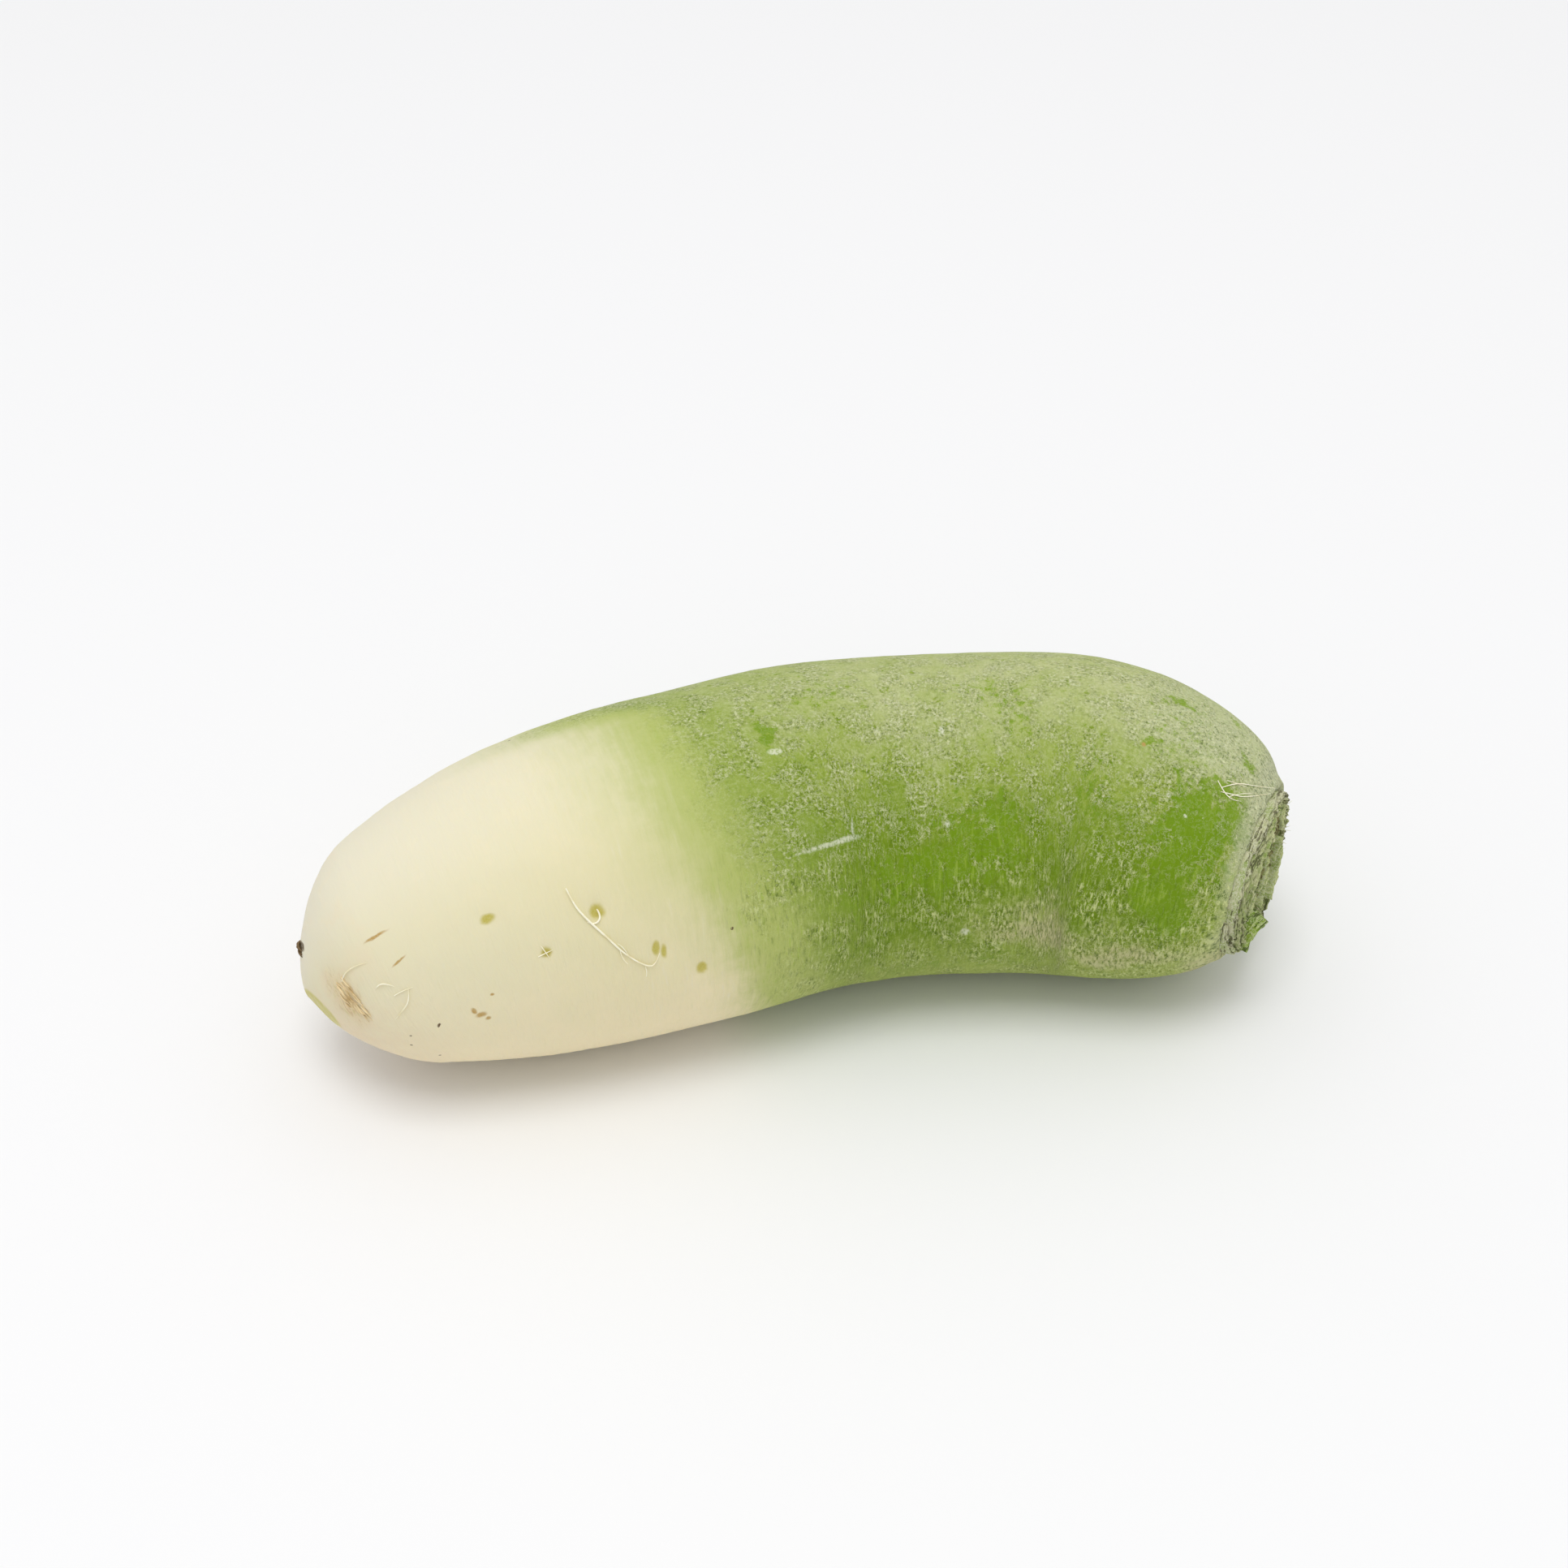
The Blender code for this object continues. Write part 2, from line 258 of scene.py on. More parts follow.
# Root pits: mm from the tail, degrees, width along, width round, depth.
pits = (
    (61.3, 148, 1.6, 2.4, 0.8),
    (71.6, 166, 0.8, 2.6, 0.65),
    (73.2, 168, 0.7, 2.4, 0.65),
    (80.6, 178, 1.2, 2.2, 0.55),
    (41.6, 139, 1.2, 1.5, 0.35),
    (49.2, 157, 1.0, 1.8, 0.5),
    (52.0, 330, 1.5, 2.3, 0.7),
    (66.0, 342, 1.2, 2.5, 0.6),
    (44.0, 355, 1.2, 1.9, 0.5),
    (74.0, 325, 1.0, 2.2, 0.5),
    (31.0, 12, 1.3, 2.0, 0.5),
)
brokenPatch = {"at": 13.6, "angle": 151, "along": 4.6, "round": 7.5, "depth": 0.45}

# Places on the skin with a look of their own: mm from the tail, degrees, half length along, half
# width round, degrees that it leans, strength.
cleanWindows = (
    (206, 132, 7.5, 12.5, 0, 1.25),
    (200, 120, 3.6, 4.6, 10, 0.8),
    (204, 162, 8.0, 10.0, 0, 1.05),
    (139, 160, 18.0, 4.8, -3, 0.9),
    (152, 148, 13.0, 9.0, 0, 0.75),
    (113, 165, 8.0, 4.0, 0, 0.7),
    (102, 102, 2.4, 4.2, 0, 0.9),
    (197, 97, 10.0, 12.0, 0, 0.5),
    (194.6, 80, 3.4, 2.2, -20, 0.85),
    (206, 66, 3.0, 2.2, 0, 0.8),
    (211.4, 89, 1.6, 2.4, 0, 0.9),
    (194, 105, 2.2, 3.4, 10, 0.8),
    (178, 112, 1.8, 1.6, 0, 0.7),
    (158, 100, 11.0, 11.0, 0, 0.5),
    (184, 128, 8.0, 9.0, 0, 0.5),
    (118, 88, 10.0, 8.0, 0, 0.45),
    (146, 205, 26.0, 4.0, 0, 0.5),
    (178, 300, 17.0, 6.0, 8, 0.7),
    (135, 20, 16.0, 5.0, -6, 0.6),
)
clayPatches = (
    (169, 184, 17.0, 5.0, 3, 1.0),
    (196, 199, 13.0, 4.0, -6, 0.8),
    (213, 230, 3.5, 9.0, 0, 1.0),
    (190, 330, 12.0, 7.0, 10, 0.8),
)
chalkPatches = (
    (92, 162, 2.6, 6.0, -10, 1.0),
    (97, 146, 3.2, 4.4, 0, 1.0),
    (73, 60, 15.0, 5.5, -2, 1.0),
    (116, 131, 6.0, 7.0, 0, 0.9),
    (137, 112, 7.0, 8.0, 15, 0.4),
    (144, 132, 6.5, 3.5, 8, 0.4),
    (196, 88, 11.0, 7.0, 0, 1.0),
)
patchEdge = {"outer": 1.8, "width": 1.6}  # in half widths of the patch
patchSway = ((9, 5), (2.6, 3))  # mm over which the edges wander, and how far


def patchShares(spots, at, angles, radius, sway):
    # The strength of a patch in its middle, fading to 0 over a wide, frayed edge.
    found = np.zeros(at.shape)
    for spotAt, spotAngle, along, around, lean, strength in spots:
        turn = (angles - math.radians(spotAngle) + math.pi) % (2 * math.pi) - math.pi
        far, aside = at - spotAt + sway[..., 0], turn * radius + sway[..., 1]
        c, s = math.cos(math.radians(lean)), math.sin(math.radians(lean))
        off = np.hypot((far * c + aside * s) / along, (aside * c - far * s) / around)
        share = np.clip((patchEdge["outer"] - off) / patchEdge["width"], 0, 1)
        found = np.maximum(found, share * share * (3 - 2 * share) * strength)
    return found


def blurred(values, rings, columns):
    # A soft average over neighbours, wrapping round the root.
    for axis, width in ((0, rings), (1, columns)):
        reach = int(width * 3)
        weights = np.exp(-0.5 * (np.arange(-reach, reach + 1) / width) ** 2)
        weights /= weights.sum()
        mode = "edge" if axis == 0 else "wrap"
        padding = [(0, 0), (0, 0)]
        padding[axis] = (reach, reach)
        wide = np.pad(values, padding, mode=mode)
        values = sum(
            w * np.take(wide, np.arange(values.shape[axis]) + k, axis=axis)
            for k, w in enumerate(weights)
        )
    return values


def skinRays():
    # For each ring of the skin: where its rays start, the middle line's direction there, and how
    # much of each ray points forwards and how much outwards.
    span = skin["crownFan"] - skin["tailFan"]
    whole = skin["tailArc"] + span + skin["crownArc"]
    far = np.linspace(0, whole, skin["along"] + 1)
    tailTurn = np.clip(far / skin["tailArc"], 0, 1) * math.pi / 2
    crownTurn = np.clip((far - skin["tailArc"] - span) / skin["crownArc"], 0, 1) * math.pi / 2
    starts = np.clip(skin["tailFan"] + far - skin["tailArc"], skin["tailFan"], skin["crownFan"])
    return starts, np.sin(crownTurn) - np.cos(tailTurn), np.sin(tailTurn) * np.cos(crownTurn)


def reliefAt(at, angle, radius):
    # How far in mm the skin stands proud of the CAD solid at a place.
    spot = unbentSpot(at, math.degrees(angle), radius)
    high = sum(height * noise.noise(spot / size) for size, height in skin["lumps"])
    drawn = Vector((at / 1.5, spot.y / 14, spot.z / 14))
    white = 1 - min(max((at - 70) / 30, 0), 1)
    high += skin["ripples"] * (0.5 + white) * noise.noise(drawn)
    rimAlong, rimRound, rimShare = skin["pitRim"]
    for pitAt, pitAngle, along, around, depth in pits:
        if abs(at - pitAt) > 8:
            continue
        turn = (math.degrees(angle) - pitAngle + 180) % 360 - 180
        across = math.radians(turn) * radius
        off = (at - pitAt) ** 2 / along**2 + across**2 / around**2
        wide = (at - pitAt) ** 2 / (along * rimAlong) ** 2 + across**2 / (around * rimRound) ** 2
        high -= depth * ((1 - rimShare) * math.exp(-off * 1.4) + rimShare * math.exp(-wide))
    turn = (math.degrees(angle) - brokenPatch["angle"] + 180) % 360 - 180
    off = ((at - brokenPatch["at"]) / brokenPatch["along"]) ** 2
    off += (math.radians(turn) * radius / brokenPatch["round"]) ** 2
    if off < 4:
        fibre = noise.noise(Vector((at / 0.9 + turn / 9, turn / 14, 0.0)))
        high += math.exp(-(off**2)) * (0.45 * fibre - brokenPatch["depth"] * 0.5)
    return high


def crownLip(local):
    # The skin lifts in a low, creased fold where it meets the old leaf bases.
    ring = math.hypot(local.x, local.y)
    if local.z < -8 or ring > 30:
        return 0.0
    middle, width, height = crown["lip"]
    crease = noise.noise(Vector((local.x / 4.5, local.y / 4.5, 2.0)))
    crease += 0.6 * noise.noise(local / 1.4)
    return height * math.exp(-(((ring - middle) / width) ** 2)) * (1 + 0.4 * crease)


def makeSkin(made):
    source = bmesh.new()
    source.from_mesh(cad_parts["root_body"].data)
    bmesh.ops.scale(source, vec=(1 / mm,) * 3, verts=source.verts)
    bmesh.ops.remove_doubles(source, verts=source.verts, dist=1e-3)
    tree = BVHTree.FromBMesh(source)
    source.free()

    starts, forwards, outwards = skinRays()
    points, ways = alongLine(starts)
    sides, ups = sideAndUp(ways)
    angles = np.arange(skin["around"]) * 2 * math.pi / skin["around"]
    cosines, sines = np.cos(angles)[None, :, None], np.sin(angles)[None, :, None]
    radial = sides[:, None] * cosines + ups[:, None] * sines
    rays = ways[:, None] * forwards[:, None, None] + radial * outwards[:, None, None]
    reach = np.zeros(rays.shape[:2])
    for i, start in enumerate(points):
        origin = Vector(start)
        for j in range(skin["around"]):
            reach[i, j] = tree.ray_cast(origin, Vector(rays[i, j]))[3]
    reach = blurred(reach, *skin["blur"])
    reach[0], reach[-1] = reach[0].mean(), reach[-1].mean()
    surface = points[:, None] + rays * reach[:, :, None]
    at = starts[:, None] + forwards[:, None] * reach
    radius = outwards[:, None] * reach

    turns = np.broadcast_to(angles, at.shape)
    sway = np.zeros((*at.shape, 2))
    noise.seed_set(skin["seed"])  # noise_vector goes by the clock otherwise
    for cell in np.ndindex(at.shape):
        spot = unbentSpot(at[cell], math.degrees(turns[cell]), radius[cell])
        push = sum((noise.noise_vector(spot / size) * far for size, far in patchSway), Vector())
        sway[cell] = push.x, push.y
    kinds = (cleanWindows, clayPatches, chalkPatches)
    shares = [patchShares(spots, at, turns, radius, sway) for spots in kinds]
    toCrown = crownPlace().inverted()

    bm = bmesh.new()
    bmesh.ops.create_uvsphere(bm, u_segments=skin["around"], v_segments=skin["along"], radius=1)
    unbent = bm.verts.layers.float_vector.new("unbent")
    patches = bm.verts.layers.float_vector.new("patches")
    cells = {}
    for vert in bm.verts:
        i = round(math.acos(max(-1.0, min(1.0, -vert.co.z))) / math.pi * skin["along"])
        turn = math.atan2(vert.co.y, vert.co.x) / (2 * math.pi)
        cells[vert] = (i, round(turn * skin["around"]) % skin["around"])
    for vert, (i, j) in cells.items():
        vert.co = Vector(surface[i, j])
        vert[unbent] = unbentSpot(at[i, j], math.degrees(angles[j]), radius[i, j])
        vert[patches] = Vector([share[i, j] for share in shares])
    bmesh.ops.recalc_face_normals(bm, faces=bm.faces)
    bm.normal_update()
    lifts = {}
    for vert, cell in cells.items():
        lifts[vert] = vert.normal * reliefAt(at[cell], angles[cell[1]], radius[cell])
    forward = Vector(crown["towards"]).normalized()
    fringeEnd, fringeWidth = crown["fringe"]
    for vert, lift in lifts.items():
        local = toCrown @ vert.co
        vert.co += lift + forward * crownLip(local)
        if local.z > -12:
            fringe = math.hypot(local.x, local.y)
            fringe += 2.5 * noise.noise(local / 3.0) + 1.5 * noise.noise(local / 1.1)
            dusted = min(max((fringeEnd - fringe) / fringeWidth, 0.0), 1.0)
            vert[patches].z = max(vert[patches].z, dusted)
        past = vert.co.dot(cutNormal) - cutOffset
        if past > 0:
            vert.co -= cutNormal * past
        vert.co.z = max(vert.co.z, 0.02)
    bmesh.ops.recalc_face_normals(bm, faces=bm.faces)
    print("skin:", len(bm.verts), "points")
    tree = BVHTree.FromBMesh(bm)
    newPiece("radishSkin", bm, made, ("root_body",))
    return tree


skinColours = {
    "cream": colour(232, 226, 203),
    "straw": colour(226, 218, 172),
    "tan": colour(246, 231, 194),
    "blush": colour(230, 210, 180),
    "lime": colour(178, 188, 108),
    "leaf": colour(146, 165, 72),
    "deep": colour(112, 140, 20),
    "dark": colour(66, 94, 16),
    "filmThin": colour(147, 166, 66),
    "filmFull": colour(183, 190, 132),
    "dust": colour(218, 222, 178),
    "bare": colour(111, 147, 5),
    "glow": colour(160, 184, 70),
    "pollen": colour(206, 215, 144),
    "clay": colour(198, 190, 148),
    "sage": colour(202, 210, 164),
    "rim": colour(194, 198, 160),
    "chalk": colour(232, 234, 212),
    "moss": colour(190, 178, 74),
    "scar": colour(188, 154, 90),
    "bark": colour(96, 76, 50),
    "cut": colour(206, 198, 124),
    "strand": colour(226, 204, 164),
}

# Small marks on the skin: mm from the tail, degrees, radius there, half length, half width, degrees
# that it leans.
brownScars = (
    (25.3, 128.4, 26.0, 1.8, 0.30, 4),
    (27.0, 142.6, 26.4, 1.2, 0.24, 26),
    (35.4, 176.8, 29.2, 0.9, 0.6, 20),
    (34.6, 174.2, 29.0, 0.5, 0.8, 0),
    (36.3, 179.2, 29.3, 0.6, 0.4, 30),
    (38.3, 168.0, 30.0, 0.4, 0.3, 0),
    (190.3, 109.0, 33.7, 0.35, 0.45, 0),
    (47.0, 305.0, 32.6, 2.2, 0.35, 15),
    (30.0, 40.0, 27.6, 1.3, 0.4, -25),
)
darkFlecks = (
    (87.5, 165.7, 35.6, 0.33, 0.33, 0),
    (8.2, 87.0, 12.2, 0.5, 2.0, 10),
    (28.1, 177.8, 27.0, 0.6, 0.24, 60),
    (21.9, 179.9, 24.8, 0.25, 0.2, 0),
    (20.7, 187.5, 24.2, 0.22, 0.2, 0),
    (24.0, 201.6, 25.8, 0.3, 0.2, 0),
    (58.0, 60.0, 34.2, 0.3, 0.3, 0),
    (55.0, 20.0, 34.2, 0.4, 0.3, 0),
)
whiteFlecks = (
    (143.3, 110, 35.0, 0.6, 1.1, -10),
    (143.5, 143.2, 35.0, 0.5, 0.8, 20),
    (198.2, 124.3, 31.6, 0.45, 0.5, 0),
    (200.5, 127.0, 30.8, 0.3, 0.4, 0),
    (202.7, 129.5, 29.9, 0.4, 0.35, 0),
    (110.5, 145.9, 35.3, 9.0, 0.55, 3),
    (116.5, 142.5, 35.3, 0.5, 2.2, -12),
    (103.0, 111.0, 35.5, 1.6, 0.7, 0),
    (148.0, 184.5, 35.5, 0.9, 0.9, 0),
)


def mixed(under, over, share):
    # One colour laid over another. Either may be a plain colour or a wire, and so may the share.
    wire = next(w for w in (share, under, over) if isinstance(w, Wire))
    settings = {"data_type": "RGBA", "blend_type": "MIX"}
    return wire.node("ShaderNodeMix", settings, {0: share, 6: under, 7: over}, pick=2)


def ellipse(coords, at, angle, radius, along, around, lean):
    # 0 in the middle of a spot on the skin and 1 at its edge. Lean turns its long axis.
    spot = unbentSpot(at, angle, radius)
    tilt = Matrix.Rotation(math.radians(angle), 3, "X") @ Matrix.Rotation(math.radians(lean), 3, "Y")
    size = (along, radius, around)
    values = {0: coords, "Location": spot, "Rotation": tilt.to_euler(), "Scale": size}
    return coords.node("ShaderNodeMapping", {"vector_type": "TEXTURE"}, values).length()


def anyOf(coords, spots, soft):
    # 1 inside any of the spots, falling to 0 over a soft edge.
    nearest = None
    for spot in spots:
        off = ellipse(coords, *spot)
        nearest = off if nearest is None else nearest.atMost(off)
    return nearest.between(1 + soft, 1 - soft)


def skinMaterial(cutNormal, cutOffset):
    fixed = {
        "Subsurface Weight": 0.15,
        "Subsurface Radius": (1.0, 0.75, 0.35),
        "Subsurface Scale": 0.003,
        "Specular IOR Level": 0.14,
    }
    made, shader, start = newMaterial("radishSkinPaint", fixed)
    c = skinColours
    place = start.node("ShaderNodeAttribute", {"attribute_name": "unbent"}, {}, pick="Vector")
    at, across, above = place.parts()
    girth = ((across * across + above * above) ** 0.5).atLeast(0.5)
    cosine, sine = across / girth, above / girth

    # Soft drifts, and streaks that run round the root as its fine growth lines do.
    drift = place.grain(0.06, 3.0) - 0.5
    mottle = place.grain(0.16, 4.0, 0.6)
    patchy = place.grain(0.42, 4.0, 0.7) - 0.5
    streak = place.grain(0.8, 3.0, 0.6, stretch=(1.0, 0.12, 0.12)) - 0.5
    fineStreak = place.grain(1.5, 2.0, 0.6, stretch=(1.0, 0.13, 0.13)) - 0.5
    values = {"Vector": place, "Scale": 0.35, "Detail": 5.0}
    wander = start.node("ShaderNodeTexNoise", {}, values, pick="Color")
    close = place.shifted(wander.shifted((-0.5, -0.5, -0.5)).timesVector((1.2, 1.2, 1.2)))
    topSide = cosine * 0.26 + sine * 0.97  # 1 where dust settles most, -1 underneath

    # How far past the edge of the green a place is, in mm. The edge leans back over the top.
    tongue = (cosine * 0.5 + sine * 0.86).between(0.88, 1.0) * cosine.between(0.1, 0.4)
    edge = 86 - 9.5 * sine - 4.5 * cosine - 12 * tongue + drift * 8 + streak * 7 + patchy * 5
    deepened = (at - edge).between(2, 36)
    past = (at - edge) * (1.0 + topSide.between(0.45, -0.35) * 0.9)
    tint = past.between(-24, 2)
    greened = past.between(-10, 8)

    # The white half
    yellowed = topSide.between(1.1, 0.45) * 0.45 + at.between(20, 75) * 0.4
    white = mixed(c["cream"], c["straw"], yellowed)
    # Lighter tan towards the underside: partly the skin's own tan, partly painted fill light from below
    tanAndFillLight = (drift * 0.5 - topSide * 0.8).between(-0.2, 0.7) * 0.8 + mottle.between(0.5, 0.7) * 0.1
    white = mixed(white, c["tan"], tanAndFillLight)
    tip = at.between(34, 8)
    white = mixed(white, c["blush"], tip * (mottle - topSide * 0.3).between(0.2, 0.8) * 0.7)
    lines = streak.between(0.1, 0.28) * at.between(58, 72)
    white = mixed(white, c["cream"], lines * 0.55)
    white = mixed(white, c["straw"], fineStreak.between(0.05, 0.3) * at.between(35, 65) * 0.35)
    white = mixed(white, c["lime"], tint * (0.2 + mottle * 0.5))

    # The green half, under a dusty film that is thickest on top and bare in the clean windows
    patches = start.node("ShaderNodeAttribute", {"attribute_name": "patches"}, {}, pick="Vector")
    window, clay, chalky = patches.parts()
    roundGrain = place.grain(1.5, 4.0, 0.75)
    fray = place.grain(0.6, 5.0, 0.75, offset=(2.0, 7.0, 4.0)) - 0.5
    window = (window + fray * 2.4 + (roundGrain - 0.5) * 0.6).between(0.4, 0.9)
    # The film is thickest on top; a smaller share on the underside lightens it, partly dust and partly
    # painted light from the floor below
    film = topSide.between(0.15, 1.2) + topSide.between(0.0, -0.8) * 0.3
    film = film + (place.grain(0.11, 4.0, 0.6) - 0.5) * 0.75 + patchy * 0.42 + streak * 0.2
    rubbed = place.grain(0.5, 3.0, 0.6, offset=(9.0, 2.0, 6.0)).between(0.6, 0.7)
    film = film - rubbed * 0.45 - window * 0.6
    film = film + chalky * 0.22 + clay * 0.42 + at.between(196, 210) * 0.25
    film = film - at.between(150, 95) * 0.18
    film = film.atLeast(0.0).atMost(1.0)
    stops = [(0.0, c["deep"]), (0.45, c["filmThin"]), (1.0, c["filmFull"])]
    green = film.node("ShaderNodeValToRGB", {"stops": stops}, {0: film})
    young = mixed(c["lime"], c["leaf"], deepened.between(0.0, 0.45))
    green = mixed(young, green, deepened)
    green = mixed(green, c["clay"], clay * (0.35 + patchy * 0.8))
    shoulder = at.between(178, 204) * topSide.between(0.65, 1.05)
    green = mixed(green, c["sage"], shoulder * (0.5 - window * 0.4))
    green = mixed(green, c["bare"], window * deepened * 0.6)
    rimDust = (at + patchy * 3).between(211.9, 214.6)
    green = mixed(green, c["rim"], rimDust * 0.75)
    lowSide = sine.between(0.8, 0.25)
    green = mixed(green, c["glow"], fineStreak.between(0.06, 0.2) * (0.15 + lowSide * 0.35))
    green = mixed(green, c["dark"], fineStreak.between(-0.06, -0.2) * lowSide * 0.3)
    # Lime mixed in underneath lightens the underside: painted light from the floor below
    green = mixed(green, c["lime"], topSide.between(-0.3, -0.9) * 0.4)
    paint = mixed(white, green, greened)

    # Grains of dust with bare flecks between them, in loose drifts, drawn into dashes on the low side
    greenness = (past.between(0, 20) + chalky * 0.5).atMost(1.0)
    drawnGrain = place.grain(1.9, 4.0, 0.7, stretch=(1.0, 0.3, 0.3))
    grains = roundGrain * (1 - lowSide) + drawnGrain * lowSide
    grainy = place.grain(0.2, 4.0, 0.65, offset=(3.0, 11.0, 5.0)).between(0.4, 0.64)
    grainy = grainy * 0.75 + 0.2 + clay * 0.6 + chalky * 0.4 - window * 0.8
    grainy = grainy + at.between(180, 205) * 0.25 + rimDust * 0.6
    grainy = grainy.atLeast(0.03).atMost(1.0) * greenness
    speckle = (grains + film * 0.02 + clay * 0.05).between(0.53, 0.585) * grainy
    bare = grains.between(0.45, 0.395) * grainy
    # Crinkled lines, where the film has dried and cracked
    crinkle = close.grain(0.6, 3.0, 0.7, offset=(6.0, 3.0, 2.0)) - 0.5
    crinkle = crinkle.maths("ABSOLUTE").between(0.035, 0.012)
    crinkle = crinkle * (grainy + window * 0.2 * greenness).atMost(1.0)
    tone = place.grain(3.1, 3.0, 0.7)
    powder = mixed(mixed(c["dust"], c["pollen"], lowSide * 0.85), c["clay"], clay * 0.75)
    nearTop = sine.between(0.3, 0.85) * sine.between(1.05, 0.9)
    paint = mixed(paint, powder, speckle * (0.85 - 0.15 * nearTop))
    paint = mixed(paint, c["dark"], bare * 0.65)
    paint = mixed(paint, powder, crinkle * 0.55)
    crumbs = place.grain(1.2, 3.0, 0.65, offset=(5.0, 1.0, 8.0)).between(0.66, 0.72)
    crumbs = crumbs * greenness * (1.0 - 0.8 * lowSide) * (patchy + 0.5).between(0.4, 0.7)
    paint = mixed(paint, c["dust"], crumbs * 0.6)
    chalk = anyOf(close, whiteFlecks, 0.4) * grains.between(0.38, 0.55)
    paint = mixed(paint, c["chalk"], chalk * 0.65)

    # Pits, scars and flecks
    hollows = [(*pit[:2], 34.0, pit[2] * 0.9, pit[3] * 0.62, 0) for pit in pits]
    hollow = anyOf(close, hollows, 0.45)
    paint = mixed(paint, c["moss"], hollow * (0.55 + tone * 0.6))
    scar = anyOf(close, brownScars, 0.5)
    paint = mixed(paint, c["scar"], scar * (0.4 + tone))
    paint = mixed(paint, c["bark"], anyOf(close, darkFlecks, 0.3) * tone.between(0.3, 0.5))
    tornSpot = (brokenPatch["at"], brokenPatch["angle"], 20.0, 3.0, 6.0, 0)
    torn = anyOf(close, [tornSpot], 0.6)
    fibre = place.grain(1.6, 3.0, 0.7, stretch=(1.0, 0.18, 0.18))
    tornTone = mixed(c["strand"], c["moss"], fibre.between(0.54, 0.66) * 0.7)
    tornTone = mixed(tornTone, c["scar"], fibre.between(0.46, 0.36) * 0.8)
    paint = mixed(paint, tornTone, torn * 0.65)
    spot = start.node("ShaderNodeTexCoord", {}, {}, pick="Object")
    values = {0: spot, 1: cutNormal}
    reach = spot.node("ShaderNodeVectorMath", {"operation": "DOT_PRODUCT"}, values, "Value")
    facet = (reach / mm - cutOffset).between(-0.4, -0.1)
    paint = mixed(paint, mixed(c["cut"], c["straw"], fibre.between(0.4, 0.7) * 0.6), facet)

    plug(paint, shader, "Base Color")
    dusty = (film * greened * 0.5 + speckle * 0.4 + torn * 0.4).atMost(1.0)
    plug(0.5 + 0.1 * mottle + dusty * 0.36, shader, "Roughness")
    height = (speckle - bare) * 0.6 + crinkle * 0.5 + torn * fibre * 1.5
    height = height + fineStreak * (0.4 + lowSide) + streak * 0.5
    bumpInto(height, shader, 0.00018, 0.8)
    return made


cutNormal = Vector(skin["tailCutNormal"]).normalized()
rootPoints = [vert.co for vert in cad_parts["root_body"].data.vertices]
cutOffset = max(point.dot(cutNormal) for point in rootPoints) / mm - skin["tailCutDepth"]
skinTree = makeSkin(skinMaterial(cutNormal, cutOffset))


def onSkin(at, angle, radius=30.0, lift=0.0):
    # The point over a place on the skin, in mm.
    start = min(max(at, skin["tailFan"]), skin["crownFan"])
    points, ways = alongLine(start)
    sides, ups = sideAndUp(ways)
    turn = math.radians(angle)
    radial = Vector(sides[0]) * math.cos(turn) + Vector(ups[0]) * math.sin(turn)
    ray = (Vector(ways[0]) * (at - start) + radial * radius).normalized()
    hit, normal, face, far = skinTree.ray_cast(Vector(points[0]), ray)
    return hit + ray * lift


# Crown

scales = {
    "count": 6,
    "span": 128,  # degrees
    "radii": (18.9, 17.5),  # mm, at the free and at the tucked end
    "heights": (1.9, 3.3),
    "foot": -1.5,
    "thick": 0.4,
    "ragged": 0.75,
}
# Thin sheaths inside the scales: start angle, span, radius, lowest and highest edge.
sheaths = (
    (15, 150, 17.3, 2.2, 2.9),
    (120, 140, 17.2, 2.5, 3.4),
    (205, 120, 17.4, 2.9, 3.6),
    (290, 130, 17.0, 2.2, 2.8),
    (60, 130, 16.4, 3.0, 3.7),
    (150, 110, 16.5, 3.5, 4.3),
    (235, 80, 16.6, 3.7, 4.5),
    (330, 110, 16.3, 2.5, 3.2),
    (85, 95, 15.6, 3.9, 4.6),
    (160, 95, 15.8, 3.8, 4.4),
    (262, 60, 15.4, 3.2, 4.0),
    (310, 80, 15.6, 2.8, 3.5),
)
whorls = (
    {"count": 5, "out": 13.3, "width": 12.8, "thick": 4.2, "turn": 40},
    {"count": 4, "out": 7.9, "width": 9.0, "thick": 3.3, "turn": 20},
    {"count": 3, "out": 3.2, "width": 5.0, "thick": 2.6, "turn": 75},
)
stub = {
    "knifeHeight": 3.5,
    "knifeFall": 0.04,
    "slips": (0.82, 1.12),
    "slant": 9,
    "lean": 4,
    "bow": 0.20,
    "hollow": 0.22,
    "sides": 64,
    "capRings": 9,
    "ribs": 0.04,
    "short": (3, 0.4),  # which stub was cut lower, and to what share
}
# One leaf stalk dried into a roll beside it.
rolledLeaf = {
    "out": 11.4,
    "turn": 234,
    "lean": 20,
    "radii": (5.0, 2.8),
    "wound": 450,  # degrees
    "heights": (5.2, 6.4),
    "thick": 0.7,
}
cutHairs = {
    "count": 90, "reach": (0.7, 2.2), "ring": (11.5, 16.4), "low": 2.7, "bend": 0.35, "thick": 0.5,
}


